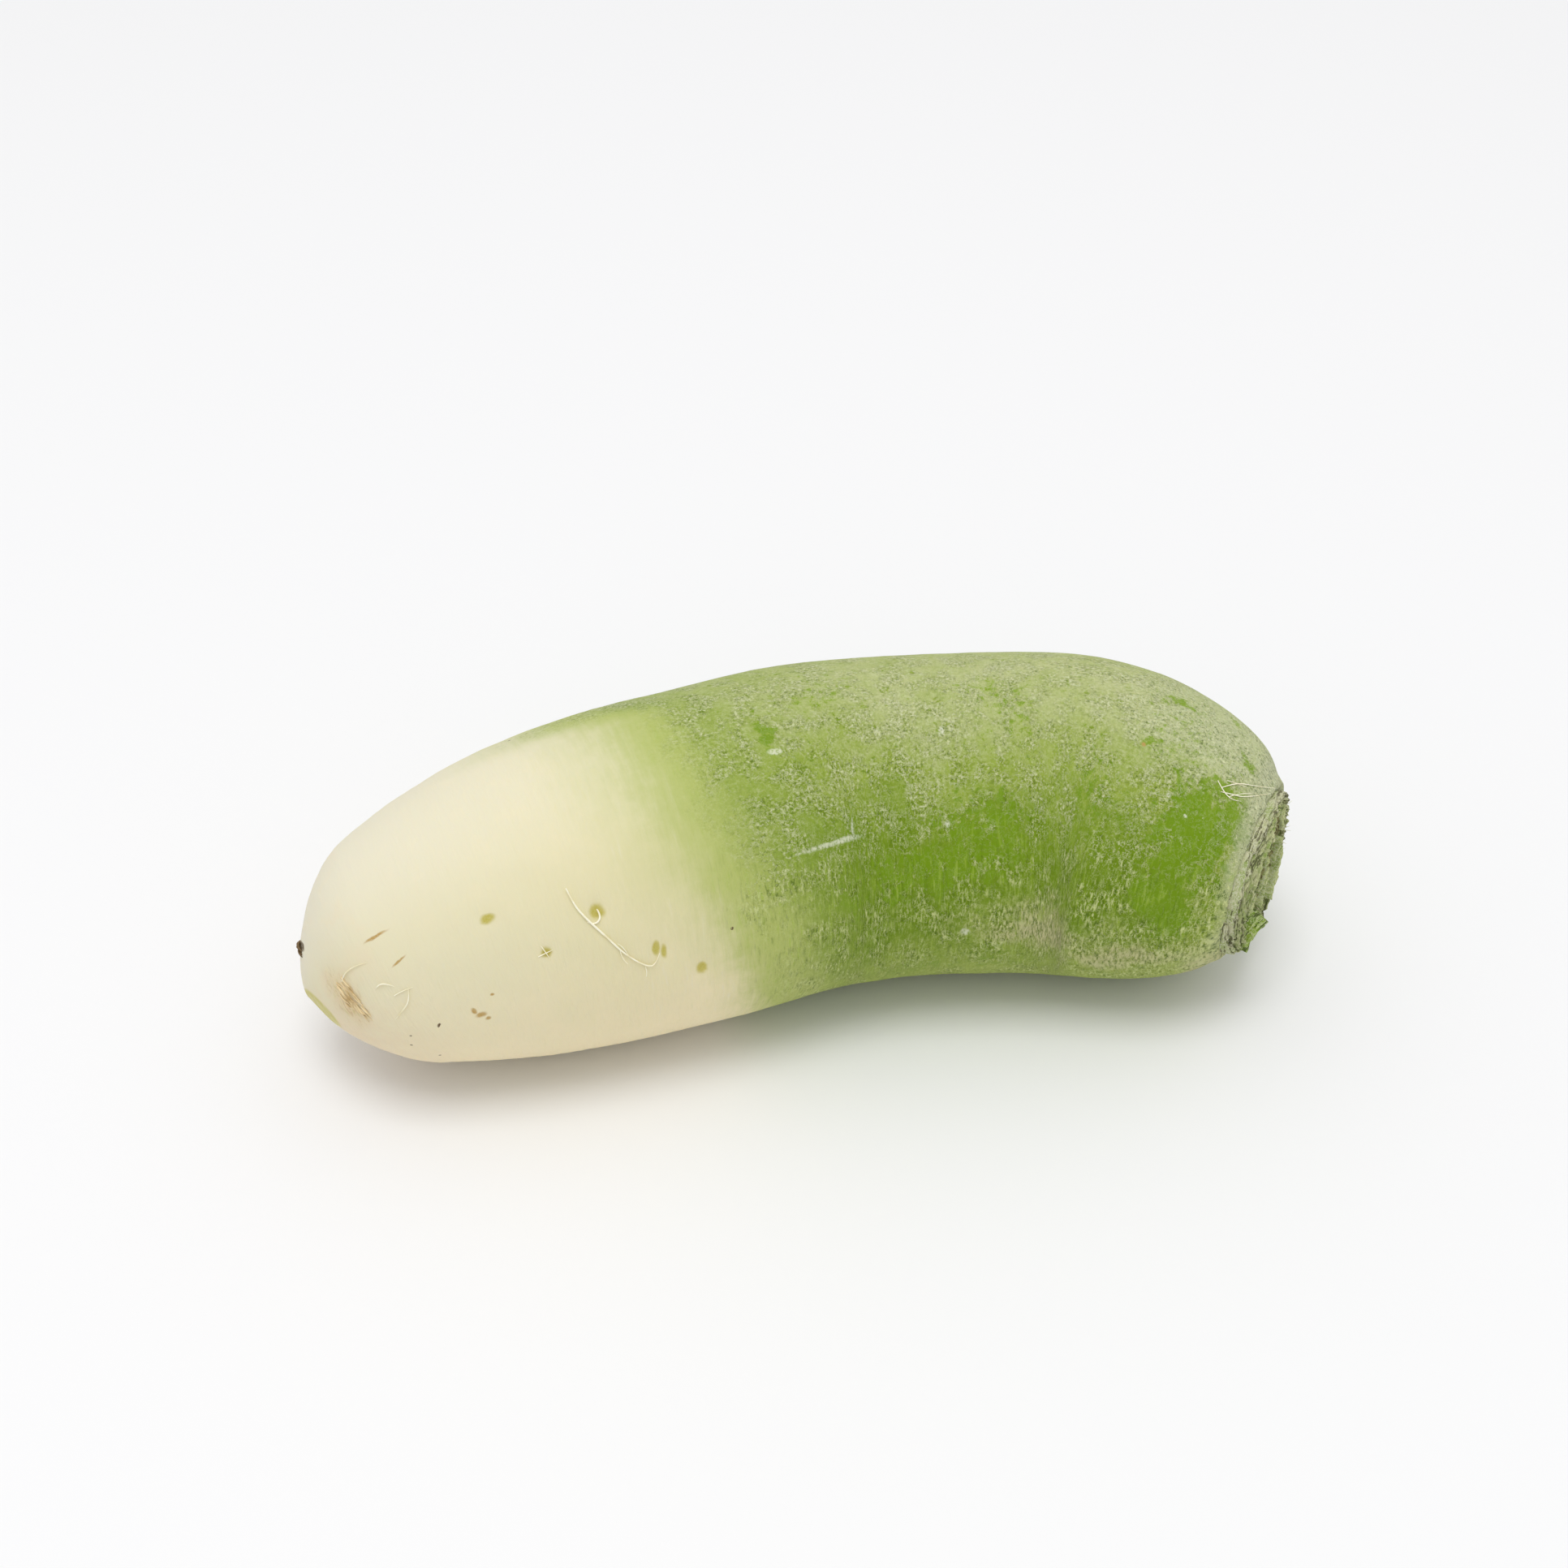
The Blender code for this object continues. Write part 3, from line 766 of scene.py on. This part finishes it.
def leafMaterial(name, tones):
    made, shader, start = newMaterial(name, {"Specular IOR Level": 0.15})
    place = start.node("ShaderNodeAttribute", {"attribute_name": "leafPlace"}, {}, pick="Vector")
    vein = place.grain(1.3, 3.0, 0.6, stretch=(0.07, 1.0, 1.0))
    thin = place.grain(3.0, 2.0, 0.6, stretch=(0.1, 1.0, 1.0))
    cloud = place.grain(0.35, 3.0, 0.6)
    dust = place.grain(2.2, 3.0, 0.75)
    paint = mixed(tones["face"], tones["green"], cloud.between(0.4, 0.65))
    paint = mixed(paint, tones["dust"], dust.between(0.46, 0.6) * tones["dustShare"])
    paint = mixed(paint, tones["pale"], thin.between(0.52, 0.62) * 0.6)
    # Dark lines running round the crown: partly the leaves' own creases, partly painted shade of the
    # fissures between the sheets
    paint = mixed(paint, tones["line"], vein.between(0.46, 0.42) * 0.75)
    plug(paint, shader, "Base Color")
    plug(0.74 + dust * 0.3, shader, "Roughness")
    bumpInto(vein * 0.8 + thin * 0.5 + dust * 0.4, shader, 0.0003, 0.9)
    return made


def leafSheet(bm, start, span, radii, heights, foot, thick, ragged, flare, seed):
    # One clasping leaf base: a grid wound round the crown, frayed along its top, then thickened.
    sheet = bmesh.new()
    leafPlace = sheet.verts.layers.float_vector.new("leafPlace")
    bmesh.ops.create_grid(sheet, x_segments=72, y_segments=12, size=1)
    low, high = heights
    for vert in sheet.verts:
        t, rise = (vert.co.x + 1) / 2, (vert.co.y + 1) / 2
        angle = math.radians(start + span * t)
        radius = radii[0] + (radii[1] - radii[0]) * t
        arc = radius * angle
        top = (low + (high - low) * t) * (1 - 0.4 * (2 * t - 1) ** 6)
        fray = noise.noise(Vector((arc / 2.4, seed, 0)))
        fray += 0.7 * noise.noise(Vector((arc / 0.7, seed, 5)))
        top += ragged * fray * min(1.0, 4 * t, 4 * (1 - t))
        tall = foot + (top - foot) * rise
        radius += 0.22 * noise.noise(Vector((arc / 0.8, tall / 6, seed)))
        radius += 0.35 * noise.noise(Vector((arc / 5.0, tall / 3, seed + 9)))
        radius += flare * (1 - rise) ** 3 - 0.5 * rise**2 * t
        vert.co = Vector((radius * math.cos(angle), radius * math.sin(angle), tall))
        vert[leafPlace] = (arc, tall, radius * 3 + seed)
    bmesh.ops.recalc_face_normals(sheet, faces=sheet.faces)
    bmesh.ops.solidify(sheet, geom=sheet.faces[:], thickness=thick)
    bmesh.ops.recalc_face_normals(sheet, faces=sheet.faces)
    gather(bm, sheet)


def gather(bm, part):
    kept = bpy.data.meshes.new("part")
    part.to_mesh(kept)
    part.free()
    bm.from_mesh(kept)
    bpy.data.meshes.remove(kept)


def makeScales():
    draw = random.Random(crown["seed"])
    bm = bmesh.new()
    bm.verts.layers.float_vector.new("leafPlace")
    for i in range(scales["count"]):
        start = 360 * (i + 0.25 * draw.random()) / scales["count"]
        share = draw.uniform(0.85, 1.1)
        heights = [height * share for height in scales["heights"]]
        leafSheet(
            bm, start, scales["span"], scales["radii"], heights, scales["foot"],
            scales["thick"], scales["ragged"], 1.0, i * 3.7,
        )
    tones = {
        "face": colour(186, 186, 146), "green": colour(150, 166, 98), "line": colour(74, 70, 40),
        "pale": colour(212, 210, 178), "dust": colour(214, 215, 188), "dustShare": 0.7,
    }
    bmesh.ops.transform(bm, matrix=crownPlace(), verts=bm.verts)
    made = leafMaterial("dryScalePaint", tones)
    newPiece("dryScales", bm, made, ("dry_leaf_bases",))
    print("dry scales made")


def makeSheaths():
    bm = bmesh.new()
    bm.verts.layers.float_vector.new("leafPlace")
    for i, (start, span, radius, low, high) in enumerate(sheaths):
        radii = (radius + 0.2, radius - 0.3)
        leafSheet(bm, start, span, radii, (low, high), 0.2, 0.32, 0.8, 0.0, 40 + i * 2.3)
    tones = {
        "face": colour(172, 176, 126), "green": colour(132, 152, 76), "line": colour(50, 52, 22),
        "pale": colour(208, 208, 164), "dust": colour(204, 206, 168), "dustShare": 0.4,
    }
    bmesh.ops.transform(bm, matrix=crownPlace(), verts=bm.verts)
    newPiece("innerSheaths", bm, leafMaterial("innerSheathPaint", tones))
    print("inner sheaths made")


def stubMaterial():
    made, shader, start = newMaterial("leafStubPaint", {"Specular IOR Level": 0.25})
    place = start.node("ShaderNodeAttribute", {"attribute_name": "leafPlace"}, {}, pick="Vector")
    cut = start.node("ShaderNodeAttribute", {"attribute_name": "cut"}, {}, pick="Fac")
    rib = place.grain(1.3, 3.0, 0.65, stretch=(1.0, 1.0, 0.12))
    dust = place.grain(2.2, 3.0, 0.75)
    cell = place.grain(2.8, 2.0, 0.6)
    side = mixed(colour(140, 162, 78), colour(186, 196, 132), rib.between(0.42, 0.6))
    side = mixed(side, colour(208, 211, 176), dust.between(0.45, 0.56) * 0.7)
    face = mixed(colour(196, 204, 142), colour(158, 174, 92), cell.between(0.46, 0.6))
    face = mixed(face, colour(150, 128, 78), place.grain(0.9, 3.0, 0.7).between(0.54, 0.66) * 0.7)
    face = mixed(face, colour(222, 222, 184), dust.between(0.5, 0.6) * 0.6)
    plug(mixed(side, face, cut), shader, "Base Color")
    plug(0.62 + dust * 0.3, shader, "Roughness")
    bumpInto(rib * 0.5 + cell * 0.6 + dust * 0.3, shader, 0.0003, 0.9)
    return made


def cutStub(bm, out, width, thick, tall, angle, slant, slantTurn, seed):
    # One cut stalk: a round bar whose cap is inset in rings, then drawn into a crescent.
    bar = bmesh.new()
    leafPlace = bar.verts.layers.float_vector.new("leafPlace")
    cutShare = bar.verts.layers.float.new("cut")
    bmesh.ops.create_cone(bar, cap_ends=True, segments=stub["sides"], radius1=1, radius2=1, depth=1)
    upright = [edge for edge in bar.edges if abs(edge.verts[0].co.z - edge.verts[1].co.z) > 0.5]
    bmesh.ops.subdivide_edges(bar, edges=upright, cuts=7)
    top = max(bar.faces, key=lambda face: face.calc_center_median().z)
    for k in range(stub["capRings"]):
        bmesh.ops.inset_region(bar, faces=[top], thickness=0.96 / stub["capRings"])
    bmesh.ops.poke(bar, faces=[top])
    half = width / 2
    lean = Matrix.Rotation(slantTurn, 3, "Z") @ Vector((math.sin(slant), 0, math.cos(slant)))
    for vert in bar.verts:
        x, y, rise = vert.co.x, vert.co.y, vert.co.z + 0.5
        ring = math.hypot(x, y)
        turn = math.atan2(y, x)
        ribs = noise.noise(Vector((math.cos(turn) * half / 0.8, math.sin(turn) * half / 0.8, seed)))
        edge = 1 + stub["ribs"] * ribs * ring**6 / thick * 2
        x, y = x * edge, y * edge
        wide = out - stub["bow"] * half * y * y + thick / 2 * x
        wide += stub["hollow"] * thick * max(-x, 0.0) * max(1 - y * y, 0.0)
        spot = Vector((wide, half * y, 0))
        knife = tall - ((wide - out) * lean.x + spot.y * lean.y) / lean.z
        rough = 0.35 * noise.noise(Vector((spot.x / 1.6, spot.y / 1.6, seed)))
        rough += 0.2 * noise.noise(Vector((spot.x / 0.5, spot.y / 0.5, seed)))
        rim = Vector((math.cos(turn) * half, math.sin(turn) * half, seed + 3))
        rough += 0.25 * ring**8 * noise.noise(rim)
        high = 0.2 + (knife + rough * (1 if rise > 0.99 else rise) - 0.2) * rise
        widen = 1 + 0.10 * (1 - rise) ** 2
        centre = Vector((out, 0, 0))
        vert.co = centre + (spot - centre) * widen
        vert.co += Vector((math.tan(math.radians(stub["lean"])) * high, 0, high))
        vert[leafPlace] = (spot.x + seed * 5, spot.y, high)
        vert[cutShare] = 1.0 if rise > 0.99 and ring < 0.97 else 0.0
    bmesh.ops.recalc_face_normals(bar, faces=bar.faces)
    bmesh.ops.rotate(bar, cent=(0, 0, 0), matrix=Matrix.Rotation(angle, 3, "Z"), verts=bar.verts)
    gather(bm, bar)


def makeStubs():
    draw = random.Random(crown["seed"] + 1)
    bm = bmesh.new()
    bm.verts.layers.float_vector.new("leafPlace")
    bm.verts.layers.float.new("cut")
    count = 0
    for whorl in whorls:
        for i in range(whorl["count"]):
            angle = math.radians(whorl["turn"] + 360 * i / whorl["count"] + draw.uniform(-7, 7))
            out = whorl["out"] + draw.uniform(-0.3, 0.2)
            width = whorl["width"] * draw.uniform(0.82, 1.08)
            thick = whorl["thick"] * draw.uniform(0.85, 1.12)
            tall = stub["knifeHeight"] - stub["knifeFall"] * out * math.sin(angle)
            tall *= draw.uniform(*stub["slips"])
            slant = math.radians(draw.uniform(0.3, 1.0) * stub["slant"])
            slantTurn = draw.uniform(0, 2 * math.pi)
            tall *= stub["short"][1] if count == stub["short"][0] else 1
            count += 1
            cutStub(bm, out, width, thick, tall, angle, slant, slantTurn, count * 2.9)
    bmesh.ops.transform(bm, matrix=crownPlace(), verts=bm.verts)
    newPiece("leafStubs", bm, stubMaterial(), ("leaf_stalk_stubs",))
    print("stubs made:", count)


def makeRolledLeaf():
    roll = bmesh.new()
    roll.verts.layers.float_vector.new("leafPlace")
    r = rolledLeaf
    leafSheet(roll, 0, r["wound"], r["radii"], r["heights"], -0.5, r["thick"], 0.7, 0.0, 90)
    turn = Matrix.Rotation(math.radians(r["turn"]), 4, "Z")
    tilt = Matrix.Rotation(math.radians(r["lean"]), 4, "Y")
    place = crownPlace() @ turn @ Matrix.Translation((r["out"], 0, 0)) @ tilt
    bmesh.ops.transform(roll, matrix=place, verts=roll.verts)
    tones = {
        "face": colour(140, 166, 62), "green": colour(108, 142, 34), "line": colour(54, 66, 20),
        "pale": colour(212, 220, 164), "dust": colour(214, 220, 176), "dustShare": 0.5,
    }
    newPiece("rolledLeaf", roll, leafMaterial("rolledLeafPaint", tones))
    print("rolled leaf made")


def makeStemPlate():
    plate = {"radius": 17.2, "height": 1.7, "dome": 0.8, "rings": 22}
    bm = bmesh.new()
    leafPlace = bm.verts.layers.float_vector.new("leafPlace")
    bmesh.ops.create_cone(bm, cap_ends=True, segments=96, radius1=1, radius2=1, depth=1)
    top = max(bm.faces, key=lambda face: face.calc_center_median().z)
    for k in range(plate["rings"]):
        bmesh.ops.inset_region(bm, faces=[top], thickness=0.97 / plate["rings"])
    bmesh.ops.poke(bm, faces=[top])
    for vert in bm.verts:
        ring = math.hypot(vert.co.x, vert.co.y)
        spot = Vector((vert.co.x, vert.co.y, 0)) * plate["radius"]
        high = plate["height"] + plate["dome"] * (1 - ring**2)
        high += 0.8 * noise.noise(spot / 1.4) + 0.35 * noise.noise(spot / 0.5)
        vert.co = spot + Vector((0, 0, high if vert.co.z > 0 else -0.6))
        vert[leafPlace] = (vert.co.x * 8, vert.co.y, vert.co.z)
    bmesh.ops.recalc_face_normals(bm, faces=bm.faces)
    bmesh.ops.transform(bm, matrix=crownPlace(), verts=bm.verts)
    # All the plate's tones, its dust too, are dark: its own brown, darkened further as painted shade of
    # the recess between the stubs
    tones = {
        "face": colour(130, 120, 76), "green": colour(128, 138, 70), "line": colour(74, 62, 38),
        "pale": colour(180, 176, 124), "dust": colour(172, 168, 122), "dustShare": 0.5,
    }
    made = leafMaterial("stemPlatePaint", tones)
    newPiece("stemPlate", bm, made, ("leaf_stalk_stubs",))
    print("stem plate made")


makeScales()
makeSheaths()
makeStubs()
makeRolledLeaf()
makeStemPlate()


# Rootlets and loose fibres

# Each is a row of places on the skin: mm from the tail, degrees, radius, lift.
rootlets = {
    "long": [
        (56.2, 137.5, 34, 0.7), (56.7, 142.9, 34, 0.6), (58.4, 148.7, 34, 0.5), (61.7, 156.7, 34, 0.4),
        (64.8, 165.0, 35, 0.4), (69.1, 171.9, 35, 0.45), (71.0, 171.6, 35, 0.4), (72.2, 168.4, 35, 0.0),
    ],
    "hook": [
        (61.5, 147.2, 34, -0.2), (61.9, 149.6, 34, 0.3), (61.0, 151.6, 34, 0.4),
        (59.6, 151.6, 34, 0.2), (58.6, 150.4, 34, 0.15),
    ],
    "forkOne": [(64.0, 163.2, 35, 0.15), (63.9, 166.4, 35, 0.3), (65.0, 168.6, 35, 0.5)],
    "forkTwo": [(65.6, 166.4, 35, 0.15), (64.8, 161.8, 35, 0.4), (63.7, 160.2, 35, 0.7)],
    "forkThree": [(68.6, 171.4, 35, 0.2), (68.9, 174.0, 35, 0.3), (68.4, 175.4, 35, 0.5)],
    "curlOne": [
        (14.8, 140.0, 20, 0.1), (16.2, 137.0, 21, 0.6), (19.3, 135.7, 23, 0.5), (21.8, 137.2, 25, 0.15),
    ],
    "curlTwo": [
        (21.0, 150.0, 24, 0.1), (22.0, 148.4, 25, 0.5), (23.6, 149.6, 25, 0.5), (24.5, 152.2, 26, 0.1),
    ],
    "curlThree": [
        (26.4, 155.6, 26, 0.2), (25.8, 160.2, 26, 0.5), (23.6, 164.4, 25, 0.5), (21.2, 168.2, 24, 0.1),
    ],
    "curlFour": [(23.6, 156.4, 25, 0.1), (25.4, 155.0, 26, 0.4), (27.2, 155.4, 27, 0.1)],
    "crossOne": [(48.6, 154.0, 33, 0.1), (49.2, 156.9, 33, 0.35), (49.6, 160.0, 33, 0.1)],
    "crossTwo": [(47.6, 157.8, 33, 0.1), (49.2, 157.2, 33, 0.3), (50.6, 156.6, 33, 0.1)],
    "crownOne": [
        (207.5, 111.8, 27.6, 0.1), (209.1, 107.5, 26.6, 0.3), (210.8, 103.7, 25.4, 0.25),
        (213.6, 97.2, 22.6, 0.3), (215.4, 84.0, 18.6, 0.5),
    ],
    "crownTwo": [
        (207.7, 113.6, 27.5, 0.1), (210.0, 111.8, 26.0, 0.3), (212.5, 108.7, 23.9, 0.3),
        (215.2, 92.0, 19.2, 0.5),
    ],
    "crownThree": [(208.1, 107.0, 27.2, 0.1), (210.0, 105.3, 26.2, 0.2), (212.3, 103.0, 24.4, 0.1)],
    "crownFour": [(209.4, 113.8, 26.4, 0.1), (211.2, 108.6, 25.2, 0.2), (213.4, 103.2, 22.9, 0.1)],
    "crownFive": [
        (206.4, 109.6, 28.2, 0.1), (208.0, 113.0, 27.3, 0.2), (210.3, 114.6, 25.9, 0.2),
        (212.0, 112.0, 24.6, 0.1),
    ],
    "backLong": [
        (70, 330, 35, 0.2), (66, 337, 35, 0.3), (62, 341, 35, 0.25), (57, 343, 34, 0.2),
        (52, 331, 34, 0.1),
    ],
    "backShort": [(44.0, 355, 32, -0.2), (42.5, 359, 31, 0.5), (40.0, 361, 31, 0.8)],
}
thickRootlets = ("long", "hook", "backLong")
rootletThick = {"thick": 2.1, "crown": 1.15, "plain": 1.3}  # times the depth of a thread
threadDepth = 0.00012  # metres


def strand(places, thick, curve):
    line = curve.splines.new("NURBS")
    line.points.add(len(places) - 1)
    line.order_u = 3
    line.use_endpoint_u = True
    line.resolution_u = 6
    for k, (point, place) in enumerate(zip(line.points, places)):
        point.co = (*(place * mm), 1)
        share = k / (len(places) - 1)
        point.radius = thick * (1.0 - 0.75 * abs(2 * share - 0.7) / 1.3)


def newCurve(name, made):
    curve = bpy.data.curves.new(name, "CURVE")
    curve.dimensions = "3D"
    curve.bevel_depth = threadDepth
    curve.bevel_resolution = 2
    curve.use_fill_caps = True
    piece = bpy.data.objects.new(name, curve)
    bpy.context.scene.collection.objects.link(piece)
    curve.materials.append(made)
    return piece


def strandMaterial(name, pale, brown):
    made, shader, start = newMaterial(name, {"Specular IOR Level": 0.3})
    spot = start.node("ShaderNodeTexCoord", {}, {}, pick="Object")
    tone = spot.grain(260.0, 3.0, 0.6)
    plug(mixed(pale, brown, tone.between(0.45, 0.7)), shader, "Base Color")
    plug(0.55 + tone * 0.3, shader, "Roughness")
    return made


def makeRootlets():
    made = strandMaterial("rootletPaint", colour(252, 248, 224), colour(240, 230, 190))
    piece = newCurve("rootlets", made)
    for name, places in rootlets.items():
        kind = "thick" if name in thickRootlets else "crown" if name.startswith("crown") else "plain"
        strand([onSkin(*place) for place in places], rootletThick[kind], piece.data)
    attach(piece, "root")


def makeCutHairs():
    # Short hairs along the cut edges of the leaf stalks
    draw = random.Random(23)
    made = strandMaterial("cutHairPaint", colour(222, 222, 184), colour(176, 184, 116))
    piece = newCurve("cutHairs", made)
    for k in range(cutHairs["count"]):
        turn, ring = draw.uniform(0, 2 * math.pi), draw.uniform(*cutHairs["ring"])
        spot = Vector((ring * math.cos(turn), ring * math.sin(turn), cutHairs["low"]))
        way = Vector((math.cos(turn), math.sin(turn), 0)) * draw.uniform(-0.3, 0.9)
        way += Vector((draw.uniform(-0.7, 0.7), draw.uniform(-0.7, 0.7), draw.uniform(0.3, 1.0)))
        way.normalize()
        bend = Vector((draw.uniform(-1, 1), draw.uniform(-1, 1), draw.uniform(-0.5, 0.5)))
        bend *= cutHairs["bend"]
        reach = draw.uniform(*cutHairs["reach"])
        steps = (0.0, 0.4, 0.75, 1.0)
        places = [crownPlace() @ (spot + way * reach * t + bend * t * t) for t in steps]
        strand(places, cutHairs["thick"], piece.data)
    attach(piece, "root")


tailFibres = {
    "count": 36,
    "along": 2.8,  # mm to either side of the broken patch
    "turns": (-14, 8),
    "spans": (5, 15),
    "slopes": (0.5, 2.0),
    "radius": 20.5,
    "bow": 0.25,
    "thick": (0.7, 1.7),
}
dryShred = {
    "count": 14, "at": 7.0, "angle": 82, "radius": 11.6, "rise": (0.2, 0.9), "thick": (1.0, 2.4),
}


def makeTailFibres():
    # Torn fibres over the broken patch near the tail
    draw = random.Random(11)
    made = strandMaterial("tailFibrePaint", colour(236, 216, 172), colour(202, 172, 116))
    piece = newCurve("tailFibres", made)
    f = tailFibres
    for k in range(f["count"]):
        at = brokenPatch["at"] + draw.uniform(-f["along"], f["along"])
        angle = brokenPatch["angle"] + draw.uniform(*f["turns"])
        span = draw.uniform(*f["spans"])
        slope = draw.uniform(*f["slopes"])
        places = []
        for t in (0.0, 0.35, 0.7, 1.0):
            here = at + slope * t + draw.uniform(-0.15, 0.15)
            lift = f["bow"] * math.sin(math.pi * t) + draw.uniform(-0.1, 0.25)
            places.append(onSkin(here, angle + span * t, f["radius"], lift))
        strand(places, draw.uniform(*f["thick"]), piece.data)
    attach(piece, "root")

    # A dry brown shred that clings to the tail
    made = strandMaterial("dryShredPaint", colour(120, 98, 66), colour(62, 48, 34))
    piece = newCurve("dryShred", made)
    for k in range(dryShred["count"]):
        at = dryShred["at"] + draw.uniform(-0.9, 1.2)
        angle = dryShred["angle"] + draw.uniform(-6, 6)
        rise = draw.uniform(*dryShred["rise"])
        places = []
        for t, step in ((0.0, -9), (0.35, -3), (0.7, 3), (1.0, 8)):
            here = at + draw.uniform(-0.4, 0.4)
            lift = 0.08 + rise * math.sin(math.pi * t) ** 2
            places.append(onSkin(here, angle + step, dryShred["radius"], lift))
        strand(places, draw.uniform(*dryShred["thick"]), piece.data)
    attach(piece, "root")


makeRootlets()
makeCutHairs()
makeTailFibres()
print("rootlets and fibres laid")


# Light, floor and camera

studio = {
    "cameraSpot": (-0.06236, -0.39275, 0.37328),
    "lookAt": (0.00634, 0.06375, -0.00052),
    "lens": 55.4,
    "floorWidth": 30.0,
    "floorTone": (0.885, 0.885, 0.892, 1),
    "skyLow": 0.38,  # strength of the sky at the horizon, and how much it gains overhead
    "skyGain": 0.61,
    "keySpot": (-0.2, -0.55, 2.5),
    "keySize": 1.2,
    "keyPower": 22.0,
}


def makeStudio():
    bm = bmesh.new()
    bmesh.ops.create_grid(bm, x_segments=2, y_segments=2, size=studio["floorWidth"] / 2)
    mesh = bpy.data.meshes.new("floor")
    bm.to_mesh(mesh)
    bm.free()
    floor = bpy.data.objects.new("floor", mesh)
    bpy.context.scene.collection.objects.link(floor)
    made, shader, start = newMaterial("floorPaint", {"Roughness": 0.75, "Specular IOR Level": 0.2})
    shader.inputs["Base Color"].default_value = studio["floorTone"]
    mesh.materials.append(made)

    light = bpy.data.lights.new("keyLight", "AREA")
    light.shape = "SQUARE"
    light.size = studio["keySize"]
    light.energy = studio["keyPower"]
    lamp = bpy.data.objects.new("keyLight", light)
    lamp.location = studio["keySpot"]
    lamp.rotation_euler = (-lamp.location).to_track_quat("-Z", "Y").to_euler()
    bpy.context.scene.collection.objects.link(lamp)

    world = bpy.data.worlds.new("softRoom")
    world.use_nodes = True
    backdrop = world.node_tree.nodes["Background"]
    backdrop.inputs["Color"].default_value = (1.0, 1.0, 1.0, 1)
    start = Wire(world.node_tree)
    upward = start.node("ShaderNodeTexCoord", {}, {}, pick="Generated").parts()[2].atLeast(0.0)
    plug(studio["skyLow"] + studio["skyGain"] * upward, backdrop, "Strength")
    bpy.context.scene.world = world
    bpy.context.scene.view_settings.view_transform = "Standard"

    camera = bpy.data.objects.new("camera", bpy.data.cameras.new("camera"))
    camera.data.lens = studio["lens"]
    camera.data.sensor_width = 36
    camera.data.clip_end = 20
    camera.location = studio["cameraSpot"]
    towards = Vector(studio["lookAt"]) - Vector(studio["cameraSpot"])
    camera.rotation_euler = towards.to_track_quat("-Z", "Y").to_euler()
    bpy.context.scene.collection.objects.link(camera)
    bpy.context.scene.camera = camera
    print("studio set")


makeStudio()
